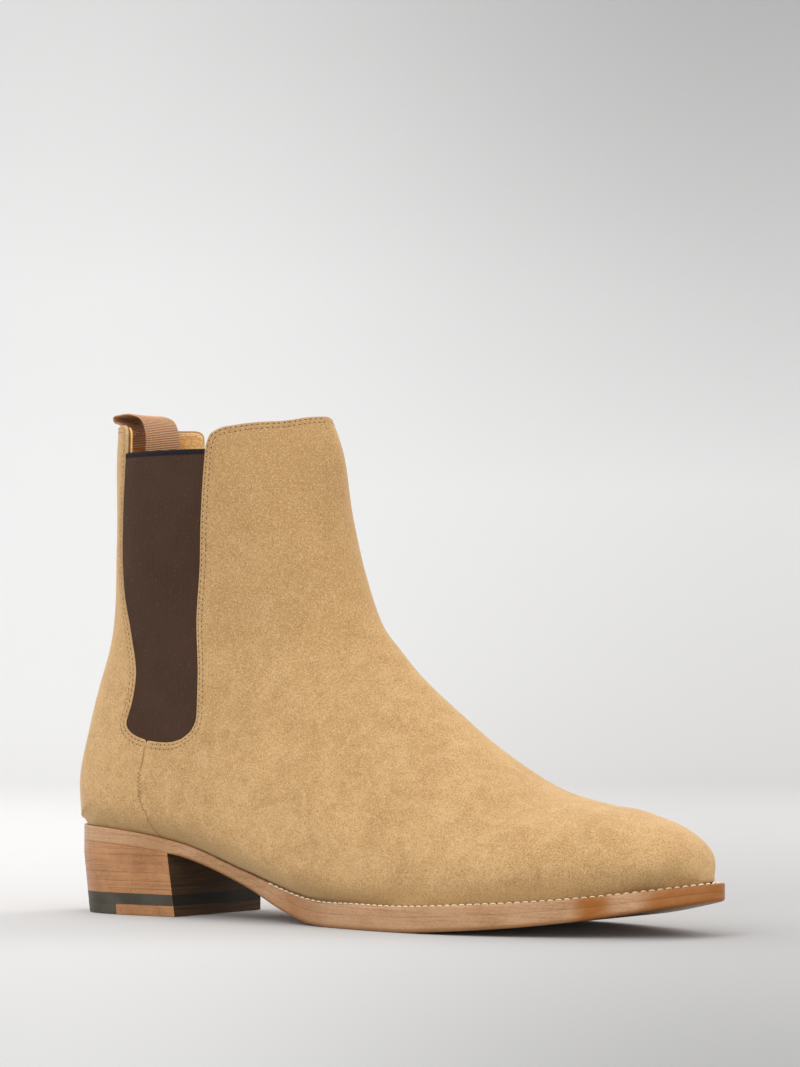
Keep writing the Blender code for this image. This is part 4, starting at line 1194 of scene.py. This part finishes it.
def build_bottom():
    stations = perimeter(-1)[0]
    joint = stations[np.searchsorted(stations, WELT_JOINT)]
    made = ring("welt_strip", sole_overhang, 4.5, feather, lambda x: welt_bottom(x) + 0.02, SOLE_EDGE,
                lambda x: x >= joint, radius=(0.7, 0.06), groove=(1.9, 0.8, 0.15))
    piece(made, "boot", ("welt",))
    made = ring("heel_rand_strip", sole_overhang, 4.5, feather, lambda x: welt_bottom(x) + 0.02,
                SOLE_EDGE, lambda x: x <= joint, radius=(0.45, 0.06))
    piece(made, "boot", ("heel_rand",))
    made = plate("outsole_leather", sole_overhang, lambda x: welt_bottom(x) - 0.02, sole_bottom, SOLE_EDGE,
                 radius=(0.05, 0.9), rounded=lambda x: 0.06 + 0.94 * smooth(x, 58.0, 66.0))
    piece(made, "boot", ("outsole",))

    def toe_room(inset, extra):
        return lambda x: -inset - extra * np.clip((x - 240) / 50, 0, 1)**2

    insole_low = lambda x: feather(x) + 0.3
    sock_low = lambda x: feather(x) + 0.6 + INSOLE_THICKNESS
    made = plate("insole_board", toe_room(INSOLE_INSET, 4.0), lambda x: insole_low(x) + INSOLE_THICKNESS,
                 insole_low, INSOLE_LOOK, radius=(0.6, 0.6))
    piece(made, "boot", ("insole",))
    made = plate("sock_cover", toe_room(INSOLE_INSET + 0.3, 8.0), lambda x: sock_low(x) + SOCK_THICKNESS, sock_low,
                 LINING_LOOK, radius=(0.4, 0.3))
    piece(made, "boot", ("sock_liner",))


def build_heel():
    low = TOP_PIECE + HEEL_RUBBER
    layers = [("top_piece_rubber", RUBBER, "rubber", 0.15, TOP_PIECE - 0.02, None, RUBBER_TIP_FRONT - 0.02),
              ("top_piece_leather", HEEL_LEATHER, "sole_leather", 0.15, TOP_PIECE - 0.02, RUBBER_TIP_FRONT + 0.02,
               breast),
              ("heel_rubber_layer", RUBBER, "rubber", TOP_PIECE + 0.02, low - 0.02, None, breast)]
    for number, thickness in enumerate(LIFTS, 1):
        layers.append((f"heel_lift_{number}", HEEL_LEATHER, "sole_leather", low + 0.02, low + thickness - 0.02, None,
                       breast))
        low += thickness
    for name, look, slot_name, bottom, top, start, end in layers:
        # end faces of the breast: heel leather dyed dark plus painted shade, rubber darkened by painted shade
        made = plate(name + "_shape", lambda x, at=(bottom + top) / 2: np.full(np.shape(x), heel_overhang(at)),
                     level(top), level(bottom), look, radius=(0.08, 0.08), start=start, end=end,
                     end_look=BREAST_DYE_AND_SHADE_LOOK if look is HEEL_LEATHER else RUBBER_PAINTED_SHADE)
        taper(made, (bottom + top) / 2)
        piece(made, "boot", (name,))
    made = plate("heel_wedge_shape", lambda x: np.full(np.shape(x), heel_overhang(HEEL_TOP)),
                 lambda x: np.maximum(sole_bottom(x) - 0.02, HEEL_TOP + 0.3), level(HEEL_TOP + 0.02), HEEL_LEATHER,
                 radius=(0.06, 0.08), end=breast, end_look=BREAST_DYE_AND_SHADE_LOOK)
    piece(made, "boot", ("heel_wedge",))


def taper(made, middle):
    """Leans a heel layer's edge so that the layers run on into each other."""
    slope = (HEEL_OVERHANG_TOP - HEEL_OVERHANG_BOTTOM) / HEEL_TOP
    centre = part_point(34.0, 0.0, 0.0)
    for vertex in made.data.vertices:
        grow = slope * (vertex.co.z / MM - middle) / 29.0
        if vertex.co.x < (BREAST_TOP - 2.5 - FRAME_X) * MM:
            vertex.co.x = centre[0] + (vertex.co.x - centre[0]) * (1 + grow)
        vertex.co.y = centre[1] + (vertex.co.y - centre[1]) * (1 + grow)


def build_welt_stitches():
    paths, normals = [], []
    for side in (-1, 1):
        x, y, out_x, out_y = perimeter(side, 500)
        kept = x > 113.0
        reach = 1.9
        px, py = x[kept] + out_x[kept] * reach, y[kept] + out_y[kept] * reach
        slope = np.gradient(feather(px), px + np.arange(len(px)) * 1e-9)
        paths.append(np.stack([px, side * np.maximum(py, 0), feather(px)], 1))
        normals.append(np.stack([-slope, np.zeros(len(px)), np.ones(len(px))], 1))
    path = np.concatenate([paths[0], paths[1][::-1][1:]])
    normal = np.concatenate([normals[0], normals[1][::-1][1:]])
    made = stitches("welt_stitches", [path], [normal], 3.2, 2.9, 1.0, 0.66, WELT_THREAD, slant=0.14, lift_by=-0.06)
    piece(made, "boot")


# ---------------------------------------------------------------- the pull loop
RIBBON_ROUTE = ((19.6, 193.0), (19.2, 197.0), (18.7, 200.6), (16.8, 202.8), (13.8, 204.1), (13.6, 205.4), (17.0, 206.3),
                (23.0, 206.3), (28.2, 204.2), (30.6, 199.0), (30.8, 192.5), (29.0, 185.5), (25.5, 178.0),
                (22.6, 171.0), (21.6, 163.0))


def build_pull_loop():
    route = np.array(RIBBON_ROUTE)
    along = np.concatenate([[0], np.cumsum(np.hypot(*np.diff(route, axis=0).T))])
    ribs = int(along[-1] / 0.72)
    at = np.linspace(0, along[-1], ribs * 4 + 1)
    x = through(list(zip(along, route[:, 0])), at)
    z = through(list(zip(along, route[:, 1])), at)
    dx, dz = np.gradient(x), np.gradient(z)
    length = np.hypot(dx, dz)
    nx, nz = -dz / length, dx / length
    half = RIBBON_WIDTH / 2
    ys = np.array([-1, -0.985, -0.94, -0.8, -0.6, -0.3, 0, 0.3, 0.6, 0.8, 0.94, 0.985, 1]) * half
    phase = np.arange(len(at)) / 4.0
    rib = 0.07 * np.sin(2 * math.pi * phase)
    thick = 0.36
    cup = 0.35 * (ys / half)**2
    points, uv = [], []
    for face in (1, -1):
        for i in range(len(at)):
            for j, y in enumerate(ys):
                edge = 1 - max(abs(y) / half - 0.94, 0) / 0.06 * 0.6
                out = face * (thick + rib[i]) * edge + cup[j] * 0.5
                points.append((x[i] + nx[i] * out, y, z[i] + nz[i] * out))
                uv.append((y / 0.8, phase[i]))
    rows, columns = len(at), len(ys)
    count = rows * columns
    faces = []
    for i in range(rows - 1):
        for k in range(columns - 1):
            a = i * columns + k
            quad = (a, a + columns, a + columns + 1, a + 1)
            faces.append(quad)
            faces.append(tuple(c + count for c in quad[::-1]))
        for k, flip in ((0, 1), (columns - 1, -1)):
            a = i * columns + k
            faces.append((a, a + count, a + columns + count, a + columns)[::flip])
    for i, flip in ((0, 1), (rows - 1, -1)):
        for k in range(columns - 1):
            a = i * columns + k
            faces.append((a, a + 1, a + 1 + count, a + count)[::flip])
    made = mesh_object("pull_loop_ribbon", points, faces, RIBBON, uv=uv, sharp=80)
    bending_piece(made, ("pull_loop",))


# ---------------------------------------------------------------- pieces that keep their CAD shape
def dress_cad_nodes():
    looks = {"shank": STEEL, "cork_filler": CORK}
    for number in range(1, 5):
        looks[f"heel_nail_{number}"] = STEEL
    for number in range(1, 7):
        looks[f"top_nail_{number}"] = BRASS
    for name, look in looks.items():
        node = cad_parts[name]
        node.data.materials.clear()
        node.data.materials.append(look)


# ---------------------------------------------------------------- stage, lights and camera
# The painted light and shade on the paper, paler on the left and darker on the right, fans out from a line this far in
# front of the boot.
FAN_START = 1.5
# The paper's painted light and shade: how pale it is on the left and on the right, from the near floor up the sweep:
# metres along it first.
STAGE_PAINTED_LIGHT = ((-0.60, 0.550, 0.350), (-0.20, 0.600, 0.440), (0.14, 0.655, 0.460), (1.40, 0.715, 0.570),
               (2.21, 0.835, 0.690), (2.75, 0.880, 0.790), (3.13, 0.895, 0.690), (3.60, 0.790, 0.510))
def build_stage():
    reach, back, bend, height = 6.0, 1.8, 0.9, 4.0
    line = [(-4.5, 0.0), (back, 0.0)]
    line += [(back + bend * math.sin(a), bend * (1 - math.cos(a))) for a in np.linspace(0, math.pi / 2, 16)[1:]]
    line += [(back + bend, height)]
    turn = Matrix.Rotation(math.radians(VIEW_TURN), 4, "Z")
    points, faces = [], []
    for forward, up in line:
        for across in (-reach, reach):
            points.append(turn @ Vector((across, forward, up)))
    for i in range(len(line) - 1):
        faces.append((2 * i, 2 * i + 1, 2 * i + 3, 2 * i + 2))
    mesh = bpy.data.meshes.new("studio_floor")
    mesh.from_pydata(points, [], faces)
    mesh.shade_smooth()
    look = Look("studio_paper", Roughness=0.9, Specular_IOR_Level=0.1)
    place = look.node("ShaderNodeNewGeometry").outputs[0]

    def measured(direction, offset):
        node = look.node("ShaderNodeVectorMath", {"operation": "DOT_PRODUCT"}, i0=place, i1=direction)
        return look.math("ADD", node.outputs["Value"], offset)

    first, last = STAGE_PAINTED_LIGHT[0][0], STAGE_PAINTED_LIGHT[-1][0]
    across = measured(in_view(1.0, 0.0, 0.0), 0.0)
    sweep = look.math("DIVIDE", measured(in_view(0.0, 1.0, 1.0), -first), last - first, clamp=True)
    fan = look.math("MAXIMUM", measured(in_view(0.0, 1.0, 0.0), FAN_START), 0.7)
    spread = look.math("DIVIDE", across, fan)
    painted_light_tones = []
    for column in (1, 2):
        ramp = look.node("ShaderNodeValToRGB", Fac=sweep)
        scale = ramp.color_ramp.elements
        while len(scale) < len(STAGE_PAINTED_LIGHT):
            scale.new(0.5)
        for element, row in zip(scale, STAGE_PAINTED_LIGHT):
            element.position = (row[0] - first) / (last - first)
            element.color = (row[column], row[column], row[column], 1.0)
        painted_light_tones.append(ramp.outputs[0])
    # painted light and shade: the paper is paler on the left than on the right, and its tone changes along the sweep
    tone = look.mix(look.band(spread, -0.1, 0.104), painted_light_tones[0], painted_light_tones[1])
    grain = look.noise(3.0, 2, 0.5)
    look.set("Base Color", look.mix(look.band(grain, 0.2, 0.8, 0.0, 0.03), tone, (0.5, 0.5, 0.5)))
    mesh.materials.append(look.material)
    made = bpy.data.objects.new("studio_floor", mesh)
    bpy.context.scene.collection.objects.link(made)


def area_light(name, place, size, power, target=(0.0, 0.0, 0.08), colour=(1.0, 1.0, 1.0)):
    data = bpy.data.lights.new(name, "AREA")
    data.shape = "RECTANGLE"
    data.size, data.size_y = size
    data.energy = power
    data.color = colour
    made = bpy.data.objects.new(name, data)
    made.location = place
    aim = Vector(target) - Vector(place)
    made.rotation_euler = aim.to_track_quat("-Z", "Y").to_euler()
    bpy.context.scene.collection.objects.link(made)
    return made


VIEW_TURN = 35.5
CAMERA_AWAY, CAMERA_PITCH, CAMERA_YAW = 1.5, 2.085, 0.0886
CAMERA_TARGET = (-0.00044, 0.00052, 0.100)
FOCAL = 3757.63 / 800 * 36


def in_view(right, away, up):
    """A place given as metres to the camera's right, away from it past the boot, and up."""
    turn = math.radians(VIEW_TURN)
    return (right * math.cos(turn) - away * math.sin(turn), right * math.sin(turn) + away * math.cos(turn), up)


def build_lights():
    area_light("key", in_view(-1.1, -1.5, 1.5), (1.8, 1.8), 17.5)
    area_light("fill", in_view(1.5, -1.5, 0.9), (1.8, 1.8), 11.0)
    area_light("top", in_view(0.1, 0.5, 2.2), (2.2, 2.2), 18.5)
    area_light("low", in_view(0.5, -1.5, 0.16), (2.2, 0.3), 3.5)
    area_light("rim_right", in_view(1.2, 1.1, 1.2), (1.0, 1.0), 13.0, colour=(1.0, 0.92, 0.86))
    area_light("rim", in_view(-1.4, 1.0, 0.8), (1.2, 1.2), 10.0)
    world = bpy.data.worlds.new("studio")
    world.use_nodes = True
    world.node_tree.nodes["Background"].inputs[0].default_value = (1.0, 1.0, 1.0, 1.0)
    world.node_tree.nodes["Background"].inputs[1].default_value = 0.66
    bpy.context.scene.world = world
    bpy.context.scene.view_settings.view_transform = "Standard"


def build_camera():
    data = bpy.data.cameras.new("camera")
    data.sensor_fit = "HORIZONTAL"
    data.sensor_width = 36.0
    data.lens = FOCAL
    data.clip_start, data.clip_end = 0.05, 50.0
    made = bpy.data.objects.new("camera", data)
    away = in_view(0.0, -CAMERA_AWAY, 0.0)
    made.location = (CAMERA_TARGET[0] + away[0], CAMERA_TARGET[1] + away[1], CAMERA_TARGET[2])
    made.rotation_euler = Euler((math.radians(90 + CAMERA_PITCH), 0.0, math.radians(VIEW_TURN - CAMERA_YAW)), "XYZ")
    bpy.context.scene.collection.objects.link(made)
    bpy.context.scene.camera = made


build_camera()
build_stage()
build_lights()
build_upper()
build_gores()
build_stitches()
build_bottom()
build_heel()
build_welt_stitches()
build_pull_loop()
dress_cad_nodes()
